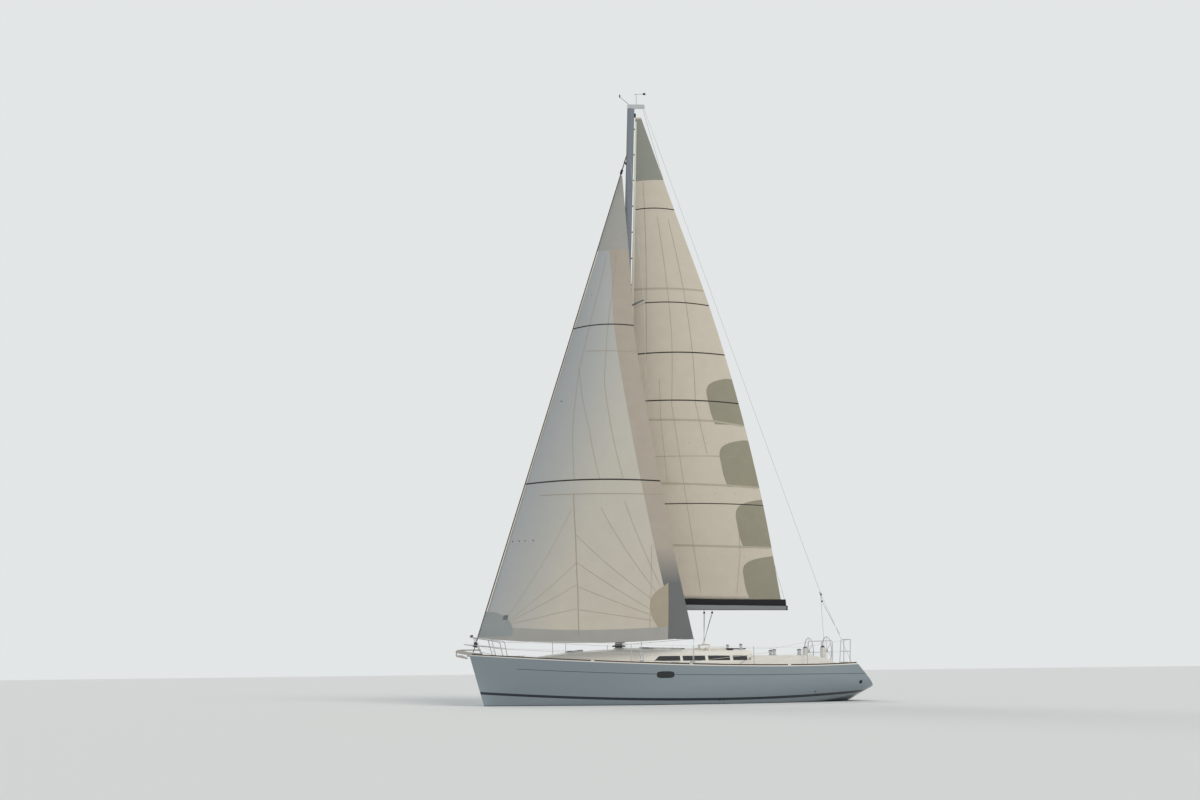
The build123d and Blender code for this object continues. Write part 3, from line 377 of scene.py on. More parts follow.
# Joinery of the companionway. Oiled teak, planed, with grain along the boards. The real grain
# is about 4 mm wide and is drawn at 12 mm so that it shows.
teak = new_material("oiled_teak", "#8a6038", 0.5)
grain_width = 12
place = add_node(teak, "ShaderNodeTexCoord")
stretch = add_node(teak, "ShaderNodeMapping", None, {"Scale": (1.0, 0.12, 1.0)},
                   {"Vector": place.outputs["Object"]})
grain = add_node(teak, "ShaderNodeTexNoise", None, {"Scale": 1000 / grain_width, "Detail": 4.0},
                 {"Vector": stretch.outputs[0]})
teak_colour = add_node(teak, "ShaderNodeMix", {"data_type": "RGBA"},
                       {6: linear("#6d4727"), 7: linear("#a9794b")}, {0: grain.outputs["Fac"]})
link_to_shader(teak, teak_colour.outputs[2], "Base Color")
dress(["washboard", "companion_steps"], teak)

# Hull fittings. The drains, the exhaust and the rims round the hull windows are black nylon
# mouldings let into the gelcoat, and are set where a ray meets the hull's side.
hull_mesh = nodes["hull"]


def skin_point(x, z, side, out=0.004):
    """Point on the hull's side at a station and height, a little proud of it, and its normal."""
    _, spot, normal, _ = hull_mesh.ray_cast(Vector((x, side * 4, z)), Vector((0, -side, 0)))
    return spot + normal * out, normal


fittings = []
for side in (1, -1):
    for x, z, radius in ((-1.17, 0.14, 0.022), (-1.31, 0.14, 0.022), (-4.6, 0.36, 0.02)):
        spot, normal = skin_point(x, z, side)
        fittings.append(ring_piece(spot, normal, radius, 0.006, 24))
        fittings.append(round_piece(spot - normal * 0.004, spot + normal * 0.001, radius * 0.9))
nylon_fitting(fittings, "hull_outlets")
spot, normal = skin_point(-6.36, 0.66, 1)
exhaust = ring_piece(spot, normal, 0.052, 0.011, 32)
exhaust_hole = round_piece(spot - normal * 0.005, spot + normal * 0.003, 0.046)
nylon_fitting([exhaust, exhaust_hole], "exhaust_outlet")

rims = []
for side in (1, -1):
    corners = []
    for step in range(48):
        angle = 2 * math.pi * step / 48
        flat = (abs(math.cos(angle)) ** 0.4 * math.copysign(1, math.cos(angle)),
                abs(math.sin(angle)) ** 0.4 * math.copysign(1, math.sin(angle)))
        spot, normal = skin_point(0.72 + 0.262 * flat[0], 0.985 + 0.098 * flat[1], side, 0.002)
        corners.append(tuple(spot))
    rims.append(line_piece(corners + corners[:1], 0.009))
nylon_fitting(rims, "hull_window_rims")

# Lifelines. Two plastic-covered wires a side run from the pulpit through the stanchions to
# the pushpit, each stanchion with a ferrule.
stanchion_line = [(3.94, 1.355), (1.84, 1.954), (-0.26, 2.07), (-2.36, 2.052), (-4.30, 1.918)]
white_wire = new_material("white_coated_wire", "#d9d9d6", 0.4)


def deck_edge_height(x):
    """Height of the deck at its edge."""
    run = x + 2.5
    bend = 0.00325 if run > 0 else 0.00711
    return 1.222 + 0.01687 * run + bend * run * run + 0.032


wires = []
for side in (1, -1):
    for rise, bow_end, stern_end in ((0.60, (5.91, 0.598, 2.125), (-5.62, 1.64, 2.07)),
                                     (0.31, (5.86, 0.585, 1.90), (-5.60, 1.64, 1.70))):
        route = [(bow_end[0], side * bow_end[1], bow_end[2])]
        route += [(x, side * y, deck_edge_height(x) + rise) for x, y in stanchion_line]
        route.append((stern_end[0], side * stern_end[1], stern_end[2]))
        wires.append(line_piece(route, 0.005))
keep(join_all(wires), "lifelines", "hull_body", white_wire)

# Navigation lights. Two small lamps in black housings stand on the pulpit's top rail.
lamps = [round_piece((6.94, y, 2.30), (6.94, y, 2.36), 0.03, 0.006) for y in (0.17, -0.17)]
nylon_fitting(lamps, "navigation_lights")

# Anchor chain. Steel links, every second one turned upright, run from the anchor's shank
# back to the locker lid.
chain = []
for link in range(22):
    spot = Vector((6.60 - link * 0.022, 0, 1.79 - link * 0.0045))
    chain.append(ring_piece(spot, (0, 1, 0) if link % 2 else (0, 0, 1), 0.013, 0.004, 10))
keep(join_all(chain), "anchor_chain", "hull_body", stainless)

# Sailcloth. Woven polyester laminate in cream, cut in long panels, matt with a faint sheen.
# The weave of 0.4 mm threads is far too fine to show, so only a broad crinkle is drawn, as painted shade.
crease_shade_size = 450


def sailcloth(name, colour, shade):
    """Cloth of one colour with painted shade, a little darker in broad random patches that stand for the
    shade of creases.
    """
    cloth = new_material(name, colour, 0.75)
    spot = add_node(cloth, "ShaderNodeTexCoord")
    noise = add_node(cloth, "ShaderNodeTexNoise", None, {"Scale": 1000 / crease_shade_size, "Detail": 3.0},
                     {"Vector": spot.outputs["Object"]})
    tone = add_node(cloth, "ShaderNodeMix", {"data_type": "RGBA"}, {6: linear(shade), 7: linear(colour)},
                    {0: noise.outputs["Fac"]})
    link_to_shader(cloth, tone.outputs[2], "Base Color")
    cloth.node_tree.nodes["Principled BSDF"].inputs["Sheen Weight"].default_value = 0.1
    return cloth


def blend_colour_along(cloth, colour, way, start):
    """Lets the cloth turn to another colour along a direction, from none to all of it over 0 to 1."""
    spot = add_node(cloth, "ShaderNodeTexCoord")
    along = add_node(cloth, "ShaderNodeVectorMath", {"operation": "DOT_PRODUCT"}, {1: way},
                     {0: spot.outputs["Object"]})
    share = math_node(cloth, "ADD", along.outputs["Value"], start, clamp=True)
    shader = cloth.node_tree.nodes["Principled BSDF"]
    before = shader.inputs["Base Color"].links[0].from_socket
    tone = add_node(cloth, "ShaderNodeMix", {"data_type": "RGBA"}, {7: linear(colour)},
                    {0: share, 6: before})
    link_to_shader(cloth, tone.outputs[2], "Base Color")


cream_cloth = sailcloth("cream_sailcloth", "#d0c8ba", "#c5bcad")
genoa_cloth = sailcloth("genoa_sailcloth", "#cbc4b8", "#c1b9ac")
# It is drawn greyer over the 17 m from its foot to its head, and blue grey over the 2.4 m
# behind its luff, where the blue grey is painted shade of the cloth's curve
fade_height, fade_low = 17, 2
blend_colour_along(genoa_cloth, "#b5b8b3", (0, 0, 1 / fade_height), -fade_low / fade_height)
blend_colour_along(genoa_cloth, "#a9adb0", (0.42, 0, 0.13), -2.12)
batten_cloth = sailcloth("batten_pocket_cloth", "#b7b09f", "#aca594")
grey_strip = sailcloth("grey_sun_strip", "#b3a99e", "#a89e93")
# The strip darkens over 1.2 m down to the clew corner
fade_run, fade_top = 1.2, 5.25
blend_colour_along(grey_strip, "#717475", (0, 0, -1 / fade_run), fade_top / fade_run)
dark_strip = sailcloth("dark_sun_strip", "#717475", "#686b6c")
green_patch = sailcloth("grey_green_patch", "#9b9685", "#8f8b7a")
dark_tape = new_material("dark_seam_tape", "#26241f", 0.7)
seam_thread = new_material("brown_seam_thread", "#a59b88", 0.8)
light_tape = new_material("light_seam_tape", "#ece7da", 0.7)
foot_cloth = sailcloth("pale_grey_foot_strip", "#a9a8a4", "#9f9e9b")
tack_cloth = sailcloth("blue_grey_tack_corner", "#999fa1", "#8f9597")
clew_cloth = sailcloth("pale_clew_patch", "#aea493", "#a39987")
head_cloth = sailcloth("grey_head_patch", "#95978e", "#8a8c83")


def table_at(rows, height):
    """Values of a table of sections at a height, on a smooth curve through the rows."""
    heights = [row[0] for row in rows]
    low = max(0, min(len(rows) - 2, sum(1 for h in heights if h <= height) - 1))
    here, there = rows[low], rows[low + 1]
    before, after = rows[max(low - 1, 0)], rows[min(low + 2, len(rows) - 1)]
    span = there[0] - here[0]
    t = (height - here[0]) / span
    result = []
    for k in range(1, len(here)):
        slope_here = (there[k] - before[k]) / (there[0] - before[0]) * span
        slope_there = (after[k] - here[k]) / (after[0] - here[0]) * span
        result.append((2 * t ** 3 - 3 * t ** 2 + 1) * here[k] + (t ** 3 - 2 * t ** 2 + t) * slope_here
                      + (3 * t ** 2 - 2 * t ** 3) * there[k] + (t ** 3 - t ** 2) * slope_there)
    return result


# Genoa sections: height, leech x, leech y, camber
genoa_rows = ((2.02, -0.48, 1.40, 0.085), (4.82, 0.16, 1.60, 0.100), (7.55, 0.67, 1.60, 0.110),
              (10.28, 1.05, 1.30, 0.120), (13.17, 1.35, 0.90, 0.120), (14.80, 1.335, 0.56, 0.100),
              (17.00, 1.41, 0.30, 0.070), (19.06, 1.50, 0.07, 0.030))
# Mainsail sections: height, chord, angle to port in degrees, camber
main_rows = ((3.48, 5.50, 7.5, 0.004), (6.85, 4.82, 9.5, 0.085), (10.43, 3.92, 12.0, 0.095),
             (14.02, 2.82, 15.5, 0.10), (17.62, 1.53, 18.5, 0.09), (21.37, 0.21, 20.0, 0.02))
rake = math.tan(math.radians(2.12))
mast_foot_x, mast_foot_z = 1.846, 1.885
stay_foot_x, stay_foot_z, stay_head_z = 6.88, 1.79, 19.95
# Luffs behind the forestay's axis and behind the mast's centre
genoa_luff_gap, main_luff_gap = 0.0272, 0.177


def mast_x(z):
    """Centre of the mast at a height."""
    return mast_foot_x - (z - mast_foot_z) * rake


def stay_x(z):
    """Forestay at a height."""
    head = mast_x(stay_head_z) + 0.095
    return stay_foot_x + (z - stay_foot_z) / (stay_head_z - stay_foot_z) * (head - stay_foot_x)


def genoa_edges(z):
    """Luff, leech and camber of the genoa at a height."""
    leech_x, leech_y, camber = table_at(genoa_rows, z)
    return (stay_x(z) - genoa_luff_gap, 0.0), (leech_x, leech_y), camber


def main_edges(z):
    """Luff, leech and camber of the mainsail at a height."""
    chord, angle, camber = table_at(main_rows, z)
    luff = mast_x(z) - main_luff_gap
    turn = math.radians(angle)
    return (luff, 0.0), (luff - chord * math.cos(turn), chord * math.sin(turn)), camber


def cloth_point(edges, u, z, out=0.0):
    """Point of a sail at a share of its chord and a height, moved out to port by a distance."""
    luff, leech, camber = edges(z)
    luff, leech = Vector((*luff, 0)), Vector((*leech, 0))
    across = leech - luff
    port = Vector((across.y, -across.x, 0)).normalized()
    slope = camber * 4 * (1 - 2 * u)
    normal = (port - across.normalized() * slope).normalized()
    middle = luff + across * u + port * (camber * across.length * 4 * u * (1 - u))
    return Vector((middle.x, middle.y, z)) + normal * out


def genoa_foot(u):
    """Height of the genoa's foot, which sags between tack and clew."""
    x = 6.7 - 7.2 * u
    return 2.05 + 0.0146 * (x - 3.0) ** 2 + 0.0042 * (x - 3.0)


def sail_sheet(edges, foot, head, columns, rows):
    """One sheet of sailcloth between its luff and leech, from its foot to its head."""
    clear_selection()
    bpy.ops.mesh.primitive_grid_add(x_subdivisions=columns, y_subdivisions=rows, size=2, location=(0, 0, 0))
    sail = bpy.context.active_object
    for vertex in sail.data.vertices:
        u, v = (vertex.co.x + 1) / 2, (vertex.co.y + 1) / 2
        low = foot(u)
        vertex.co = cloth_point(edges, u, low + (head - low) * v)
    bpy.ops.object.mode_set(mode="EDIT")
    bpy.ops.mesh.select_all(action="SELECT")
    bpy.ops.mesh.flip_normals()
    bpy.ops.object.mode_set(mode="OBJECT")
    bpy.ops.object.shade_smooth()
    thick = sail.modifiers.new("cloth", "SOLIDIFY")
    thick.thickness = 0.003
    thick.offset = 0
    bpy.ops.object.modifier_apply(modifier=thick.name)
    return sail


def free_piece(faces_made, name):
    """Turns finished faces into a piece of the scene."""
    mesh = bpy.data.meshes.new(name)
    faces_made.to_mesh(mesh)
    faces_made.free()
    piece = bpy.data.objects.new(name, mesh)
    bpy.context.scene.collection.objects.link(piece)
    return piece


def tape_mesh(edges, centre_line, width, out, steps=60):
    """A strip sewn on both faces of a sail. centre_line gives (chord share, height) for 0 to 1."""
    faces_made = bmesh.new()
    for side in (1, -1):
        rows = []
        for step in range(steps + 1):
            u, z = centre_line(step / steps)
            u2, z2 = centre_line(min(step / steps + 0.01, 1.0))
            u1, z1 = centre_line(max(step / steps - 0.01, 0.0))
            a, b = cloth_point(edges, u1, z1), cloth_point(edges, u2, z2)
            centre = cloth_point(edges, u, z)
            luff, leech, _ = edges(z)
            along = b - a
            normal = (cloth_point(edges, u, z, 1.0) - centre)
            sideways = along.cross(normal).normalized() * (width / 2)
            du = sideways.x / min((leech[0] - luff[0]) or -0.01, -0.01)
            pair = []
            for sign in (1, -1):
                pu = min(max(u + sign * du, 0.0), 1.0)
                pair.append(faces_made.verts.new(cloth_point(edges, pu, z + sign * sideways.z, side * out)))
            rows.append(pair)
        for first, second in zip(rows, rows[1:]):
            corners = [first[0], first[1], second[1], second[0]]
            faces_made.faces.new(corners if side > 0 else corners[::-1])
    return free_piece(faces_made, "tape")


def patch_mesh(edges, outline, out, steps=24):
    """A sewn patch on both faces of a sail. outline gives two (chord share, height) points for 0 to 1."""
    faces_made = bmesh.new()
    for side in (1, -1):
        rows = []
        for step in range(steps + 1):
            (u1, z1), (u2, z2) = outline(step / steps)
            row = []
            for cross in range(9):
                share = cross / 8
                row.append(faces_made.verts.new(
                    cloth_point(edges, u1 + (u2 - u1) * share, z1 + (z2 - z1) * share, side * out)))
            rows.append(row)
        for first, second in zip(rows, rows[1:]):
            for k in range(8):
                corners = [first[k], second[k], second[k + 1], first[k + 1]]
                faces_made.faces.new(corners if side > 0 else corners[::-1])
    return free_piece(faces_made, "patch")


def straight(u1, z1, u2, z2, sag=0.0):
    """Line over a sail from one chord share and height to another, raised in its middle."""
    return lambda t: (u1 + (u2 - u1) * t, z1 + (z2 - z1) * t + sag * 4 * t * (1 - t))


def sewn(pieces, name, body, material):
    """Joins the strips or patches of one colour on a sail."""
    piece = join_all(pieces)
    bpy.ops.object.shade_smooth()
    return keep(piece, name, body, material)


# Genoa. An overlapping headsail on the furler, set to port, full low down and flatter at its
# head. It has grey strips that cover it when rolled, patches at its corners and seams.
genoa_sail = sail_sheet(genoa_edges, genoa_foot, 19.05, 60, 130)
keep(genoa_sail, "genoa_sail", "hull_body", genoa_cloth)
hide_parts("genoa")


def on_genoa(pieces, name, cloth):
    """Sews strips or patches of one colour on the genoa."""
    sewn(pieces, name, "hull_body", cloth)


def leech_share(distance, z):
    """Chord share that lies a distance forward of the genoa's leech."""
    luff, leech, _ = genoa_edges(z)
    return max(1 - distance / math.dist(luff, leech), 0.02)


genoa_low, genoa_patch_low, genoa_patch_high = 2.15, 16.1, 18.9


def leech_strip(t):
    """Strip along the genoa's leech, up to its head patch."""
    z = genoa_low + (genoa_patch_low - genoa_low) * t
    return (leech_share(0.60 + 0.08 * t, z), z), (1.0, z)


def genoa_head(t):
    """Patch at the head of the genoa."""
    z = genoa_patch_low + (genoa_patch_high - genoa_patch_low) * t
    return (0.0, z), (1.0, z)


on_genoa([patch_mesh(genoa_edges, leech_strip, 0.004, 90)], "genoa_leech_strip", grey_strip)


def foot_strip(t):
    """Strip along the genoa's foot."""
    low = genoa_foot(t) + 0.01
    return (t, low + 0.42), (t, low)


foot_and_head = [patch_mesh(genoa_edges, foot_strip, 0.005, 60), patch_mesh(genoa_edges, genoa_head, 0.0042)]
on_genoa(foot_and_head, "genoa_foot_strip", foot_cloth)


def clew_edge(z):
    """Chord share of the front of the dark corner."""
    return 0.889 + (z - 2.5) * 0.0284


def clew_corner(t):
    """Dark corner at the genoa's clew."""
    z = 2.16 + 1.89 * t
    return (clew_edge(z), z), (1.0, z)


on_genoa([patch_mesh(genoa_edges, clew_corner, 0.006)], "genoa_clew_corner", dark_strip)


# Rounded patch in front of the clew corner: height, chord share of its front
clew_rows = ((2.45, 0.850), (2.85, 0.822), (3.34, 0.820), (3.69, 0.851), (4.03, 0.930))


def clew_round(t):
    """Rounded patch in front of the clew corner."""
    z = clew_rows[0][0] + (clew_rows[-1][0] - clew_rows[0][0]) * t
    return (table_at(clew_rows, z)[0], z), (clew_edge(z), z)


on_genoa([patch_mesh(genoa_edges, clew_round, 0.0045)], "genoa_clew_patch", clew_cloth)


def tack_corner(t):
    """Grey corner at the genoa's tack."""
    z = 2.30 + 0.85 * t
    return (0.0, z), (0.16 * math.sqrt(max(1 - t * t, 0.0)), z)


on_genoa([patch_mesh(genoa_edges, tack_corner, 0.0055)], "genoa_tack_corner", tack_cloth)


def through(points):
    """Line over a sail through points of chord share and height."""
    def line(t):
        place = t * (len(points) - 1)
        low = min(int(place), len(points) - 2)
        (u1, z1), (u2, z2) = points[low], points[low + 1]
        return u1 + (u2 - u1) * (place - low), z1 + (z2 - z1) * (place - low)
    return line


# Draft stripes, cross seams and the seams that fan out from clew and tack
stripes = [tape_mesh(genoa_edges, straight(0.0, 13.17, 1.0, 13.15, 0.04), 0.040, 0.007),
           tape_mesh(genoa_edges, straight(0.0, 7.54, 1.0, 7.51, 0.04), 0.045, 0.007)]
on_genoa(stripes, "genoa_draft_stripes", dark_tape)
luff_edge = [tape_mesh(genoa_edges, straight(0.0, 2.35, 0.0, 18.9), 0.08, 0.003, 90)]
on_genoa(luff_edge, "genoa_light_seams", light_tape)
# Seams of the genoa: width, then points of chord share and height
genoa_seams = ((0.016, (0.30, 12.23), (1.0, 12.15)), (0.020, (0.14, 7.09), (1.0, 7.04)),
               (0.026, (0.388, 7.08), (0.427, 5.56), (0.456, 3.78), (0.469, 2.28)),
               (0.012, (0.33, 15.9), (0.26, 11.6), (0.30, 9.6), (0.38, 7.6)),
               (0.010, (0.875, 5.3), (0.80, 2.5)),
               (0.010, (0.26, 11.6), (0.46, 9.4), (0.57, 7.6)),
               (0.012, (0.62, 15.9), (0.586, 11.1), (0.74, 7.6)),
               (0.010, (0.82, 2.78), (0.465, 3.15)), (0.010, (0.82, 2.95), (0.455, 3.92)),
               (0.010, (0.83, 3.10), (0.443, 4.73)), (0.010, (0.84, 3.45), (0.43, 5.66)),
               (0.010, (0.86, 3.75), (0.58, 6.6)), (0.010, (0.89, 3.9), (0.74, 6.8)),
               (0.010, (0.13, 2.70), (0.454, 3.19)), (0.010, (0.12, 2.75), (0.449, 3.99)),
               (0.010, (0.12, 2.80), (0.437, 4.70)), (0.010, (0.11, 2.90), (0.38, 6.5)))
seams = [tape_mesh(genoa_edges, through(points), width, 0.0068) for width, *points in genoa_seams]
on_genoa(seams, "genoa_seams", seam_thread)

# Telltales of the genoa: short dark wool tufts behind the luff, and a row of dark eyes
tufts = []
for u, z in ((0.11, 10.46), (0.16, 14.4)):
    for side in (0.009, -0.009):
        start = cloth_point(genoa_edges, u, z, side)
        end = cloth_point(genoa_edges, u + 0.03, z - 0.015, side)
        tufts.append(line_piece([tuple(start), tuple(end)], 0.004))
eye_height, eye_reach = 5.53, 0.007
for u in (0.03, 0.073, 0.111, 0.163):
    tufts.append(round_piece(cloth_point(genoa_edges, u, eye_height, -eye_reach),
                             cloth_point(genoa_edges, u, eye_height, eye_reach), 0.02))
keep(join_all(tufts), "genoa_telltales", "hull_body", dark_tape)
# A small square patch low behind the luff
square = [patch_mesh(genoa_edges, lambda t: ((0.094, 2.86 + 0.15 * t), (0.118, 2.86 + 0.15 * t)), 0.007, 4)]
on_genoa(square, "genoa_label_patch", dark_strip)

# Mainsail. A full-batten sail hoisted behind the mast on slides, sheeted to port with the
# boom, with a light tape on its luff, shell-shaped patches on its leech and draft stripes.


def main_foot(u):
    """Height of the mainsail's foot, just inside the top of its bag."""
    return 3.63 - 0.15 * u


main_sail = sail_sheet(main_edges, main_foot, 21.36, 50, 130)
keep(main_sail, "main_sail", "boom_body", cream_cloth)
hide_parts("mainsail")


def on_main(pieces, name, cloth):
    """Sews strips or patches of one colour on the mainsail."""
    sewn(pieces, name, "boom_body", cloth)


# Draft stripes of the mainsail: first chord share and height, last chord share and height, width
main_stripes = ((0.0, 17.75, 1.0, 17.68, 0.035), (0.181, 14.16, 1.0, 14.03, 0.035),
                (0.0, 12.28, 1.0, 12.21, 0.040), (0.0, 10.55, 1.0, 10.44, 0.040),
                (0.0, 6.83, 1.0, 6.80, 0.030))
dark_lines = [tape_mesh(main_edges, straight(u1, z1, u2, z2, 0.03), width, 0.0072)
              for u1, z1, u2, z2, width in main_stripes]
on_main(dark_lines, "main_draft_stripes", dark_tape)
# Seams of the mainsail: width, then points of chord share and height
main_seam_rows = ((0.014, (0.0, 8.53), (1.0, 8.51)), (0.016, (0.31, 18.8), (0.20, 14.2), (0.165, 11.9)),
                  (0.012, (0.56, 17.4), (0.47, 13.0), (0.384, 10.4), (0.434, 6.7), (0.488, 3.75)),
                  (0.014, (0.79, 17.3), (0.66, 12.2), (0.60, 10.4), (0.63, 8.6)),
                  (0.010, (0.01, 14.0), (0.181, 14.16)),
                  (0.010, (0.29, 11.3), (0.277, 9.9), (0.30, 7.6)),
                  (0.010, (0.80, 6.7), (0.772, 5.1), (0.72, 3.75)))
main_seams = [tape_mesh(main_edges, through(points), width, 0.0068) for width, *points in main_seam_rows]
on_main(main_seams, "main_seams", seam_thread)
# Batten pockets: points of chord share and height
batten_rows = (((0.01, 14.71), (0.99, 14.59)), ((0.01, 9.88), (0.72, 9.78), (0.99, 9.63)),
               ((0.01, 7.62), (0.99, 7.43)), ((0.01, 5.45), (0.99, 5.31)))
battens = [tape_mesh(main_edges, through(points), 0.065, 0.006) for points in batten_rows]
on_main(battens, "main_batten_pockets", batten_cloth)


# Front edge of a leech patch: share of its height, chord share behind its foremost point
petal_rows = ((0.0, 0.022), (0.2, 0.006), (0.45, 0.0), (0.72, 0.003), (0.86, 0.04), (0.95, 0.12), (1.0, 0.22))


def leech_petal(low, high, front):
    """Shell-shaped patch on the mainsail's leech."""
    def outline(t):
        z = low + (high - low) * t
        return (min(front + table_at(petal_rows, t)[0], 0.999), z), (1.0, z)
    return outline


# Leech patches: lowest and highest height, chord share of the front
petal_places = ((9.66, 11.33, 0.720), (7.43, 9.11, 0.732), (5.32, 7.01, 0.780), (3.52, 5.02, 0.779))
petals = [patch_mesh(main_edges, leech_petal(*petal), 0.005, 30) for petal in petal_places]
main_patch_low, main_patch_high = 18.85, 21.3


def head_patch(t):
    """Patch at the head of the mainsail."""
    z = main_patch_low + (main_patch_high - main_patch_low) * t
    return (0.0, z), (1.0, z)


on_main(petals, "main_patches", green_patch)
on_main([patch_mesh(main_edges, head_patch, 0.004, 20)], "main_head_patch", head_cloth)
luff_tape = [tape_mesh(main_edges, straight(0.008, 3.6, 0.03, 21.2), 0.10, 0.0075, 90)]
on_main(luff_tape, "main_luff_tape", light_tape)
reef_points = []
for z in (5.0, 7.2, 9.0):
    for u in (0.2, 0.35, 0.5, 0.65, 0.8):
        spot = cloth_point(main_edges, u, z)
        way = cloth_point(main_edges, u, z, 1.0) - spot
        reef_points.append(round_piece(spot - way * 0.01, spot + way * 0.01, 0.022))
keep(join_all(reef_points), "main_reef_eyes", "boom_body", stainless)
slides = []
for step in range(18):
    z = 3.9 + step
    slides.append(box_piece((mast_x(z) - 0.158, 0, z), (0.03, 0.02, 0.06), 0.004))
nylon_fitting(slides, "main_slides", "boom_body")

# Sail bag on the boom. Dark acrylic canvas in two sides with a zip, held up at its ends and
# sagging a little between, with soft folds pressed out by the cloth inside.
bag_canvas = new_material("dark_acrylic_canvas", "#1f1d21", 0.85)
boom_turn = math.radians(7.5)
boom_way = Vector((-math.cos(boom_turn), math.sin(boom_turn), 0))
boom_side = Vector((-boom_way.y, boom_way.x, 0))
boom_top = 3.3
boom_start = Vector((mast_x(boom_top) - main_luff_gap, 0, boom_top))
clear_selection()
bpy.ops.mesh.primitive_cylinder_add(vertices=28, radius=1, depth=1, location=(0, 0, 0), end_fill_type="NGON")
bag = bpy.context.active_object
bpy.ops.object.mode_set(mode="EDIT")
work = bmesh.from_edit_mesh(bag.data)
upright = [edge for edge in work.edges if abs(edge.verts[0].co.z - edge.verts[1].co.z) > 0.5]
bmesh.ops.subdivide_edges(work, edges=upright, cuts=70, use_grid_fill=False)
bmesh.update_edit_mesh(bag.data)
bpy.ops.object.mode_set(mode="OBJECT")
for vertex in bag.data.vertices:
    share = vertex.co.z + 0.5
    turn = math.atan2(vertex.co.y, vertex.co.x)
    reach = 0.19 + 5.48 * share
    top = 0.385 + (0.212 - 0.385) * share - 0.012 * math.sin(math.pi * share)
    half = (0.077 - 0.017 * share) * (1 + 0.04 * math.sin(23 * share + 2 * turn))
    level = (math.sin(turn) + 1) / 2
    narrow = 1 - 0.42 * level ** 3
    base = 0.010 - 0.060 * share
    fold = 0.006 * math.sin(41 * share + 3 * turn) * (1 - level)
    vertex.co = (boom_start + boom_way * reach + boom_side * (half * math.cos(turn) * narrow)
                 + Vector((0, 0, base + (top - base) * level + fold)))
bpy.ops.object.shade_smooth_by_angle(angle=math.radians(60))
bpy.ops.object.mode_set(mode="EDIT")
bpy.ops.mesh.select_all(action="SELECT")
bpy.ops.mesh.normals_make_consistent(inside=False)
bpy.ops.object.mode_set(mode="OBJECT")
keep(bag, "boom_bag", "boom_body", bag_canvas)
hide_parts("sail_bag")

# Boom fittings. A moulded cap closes the boom's end, the outhaul leads from it to the
# mainsail's clew, and the topping lift runs up to the masthead.
boom_end = boom_start + boom_way * 5.72 - Vector((0, 0, 0.085))
cap = box_piece((0, 0, 0), (0.07, 0.112, 0.162), 0.02)
cap_place = Matrix.Translation(boom_end + boom_way * 0.005 - boom_way * 0.03)
cap.matrix_world = cap_place @ Matrix.Rotation(-boom_turn, 4, "Z")
nylon_fitting([cap], "boom_end_cap", "boom_body")
rope_white = new_material("braided_polyester", "#d8d4c8", 0.85)
rope_dark = new_material("dark_braided_polyester", "#4a4f58", 0.85)
clew = cloth_point(main_edges, 1.0, 3.5)
topping = [tuple(boom_end + Vector((0.03, 0, 0.07))), (0.66, 0.045, 21.70)]
keep(line_piece([tuple(boom_end + Vector((0.05, 0, 0.06))), tuple(clew + Vector((0, 0, 0.02)))], 0.006),
     "outhaul", "boom_body", rope_white)
lift_low, lift_high = Vector(topping[0]), Vector(topping[1])
topping_lift = line_piece([tuple(lift_low.lerp(lift_high, k / 30)) for k in range(31)], 0.004)
topping_lift.name = "topping_lift"
topping_lift.data.materials.append(rope_dark)
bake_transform(topping_lift)

# Mainsheet. Braided line from the double blocks under the boom down to the car on the
# traveller bridge.
sheet_top = [boom_start + boom_way * reach - Vector((0, 0, 0.22)) for reach in (2.78, 3.06)]
sheet_foot = Vector((-1.21, 0, 2.085))
for number, (top, offset) in enumerate(((sheet_top[0], 0.012), (sheet_top[0], -0.018), (sheet_top[1], 0.012),
                                        (sheet_top[1], -0.018))):
    low = sheet_foot + Vector((0, offset, 0))
    high = top + Vector((offset, 0, 0))
    part = line_piece([tuple(low.lerp(high, k / 12)) for k in range(13)], 0.006)
    part.name = f"mainsheet_{number + 1}"
    part.data.materials.append(rope_dark)
    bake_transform(part)

# Genoa sheets. One leads from the clew to the car on the port track and on to the winch; the
# lazy one goes forward round the mast to starboard.
genoa_clew = cloth_point(genoa_edges, 1.0, 2.16)
sheets = [line_piece([tuple(genoa_clew), (-0.37, 1.5, 1.40), (-3.25, 1.49, 1.70)], 0.007),
          line_piece([tuple(genoa_clew), (1.95, 0.42, 1.98), (1.98, -0.42, 1.98), (-0.37, -1.5, 1.40),
                      (-3.25, -1.49, 1.70)], 0.007)]
keep(join_all(sheets), "genoa_sheets", "hull_body", rope_white)
clew_ring = ring_piece(genoa_clew, (0, 1, 0), 0.03, 0.007, 24)
keep(clew_ring, "genoa_clew_ring", "hull_body", stainless)

# Turning blocks. Black nylon blocks round the foot of the mast, which turn the halyards aft.
turning_blocks = [box_piece((mast_foot_x + ahead, side * 0.13, 1.955), (0.07, 0.05, 0.05), 0.012)
                  for side in (1, -1) for ahead in (-0.16, -0.05, 0.06, 0.16)]
nylon_fitting(turning_blocks, "turning_blocks")

# Halyards and their clutches. Braided polyester lines leave the mast low down and run aft
# over the coachroof, through black moulded clutches.
halyards = []
for side in (1, -1):
    for step in range(3):
        y = side * (0.33 + 0.05 * step)
        route = [(1.70, side * 0.12, 1.90), (1.45, y, 1.868), (-0.9, y + side * 0.05, 1.815),
                 (-2.15, side * (0.62 + 0.05 * step), 1.80)]
        halyards.append(line_piece(route, 0.005))
keep(join_all(halyards), "halyards", "hull_body", rope_white)
clutches = []
for side in (1, -1):
    for step in range(3):
        clutches.append(box_piece((-1.95, side * (0.58 + 0.055 * step), 1.815), (0.2, 0.042, 0.07), 0.012))
nylon_fitting(clutches, "line_clutches")

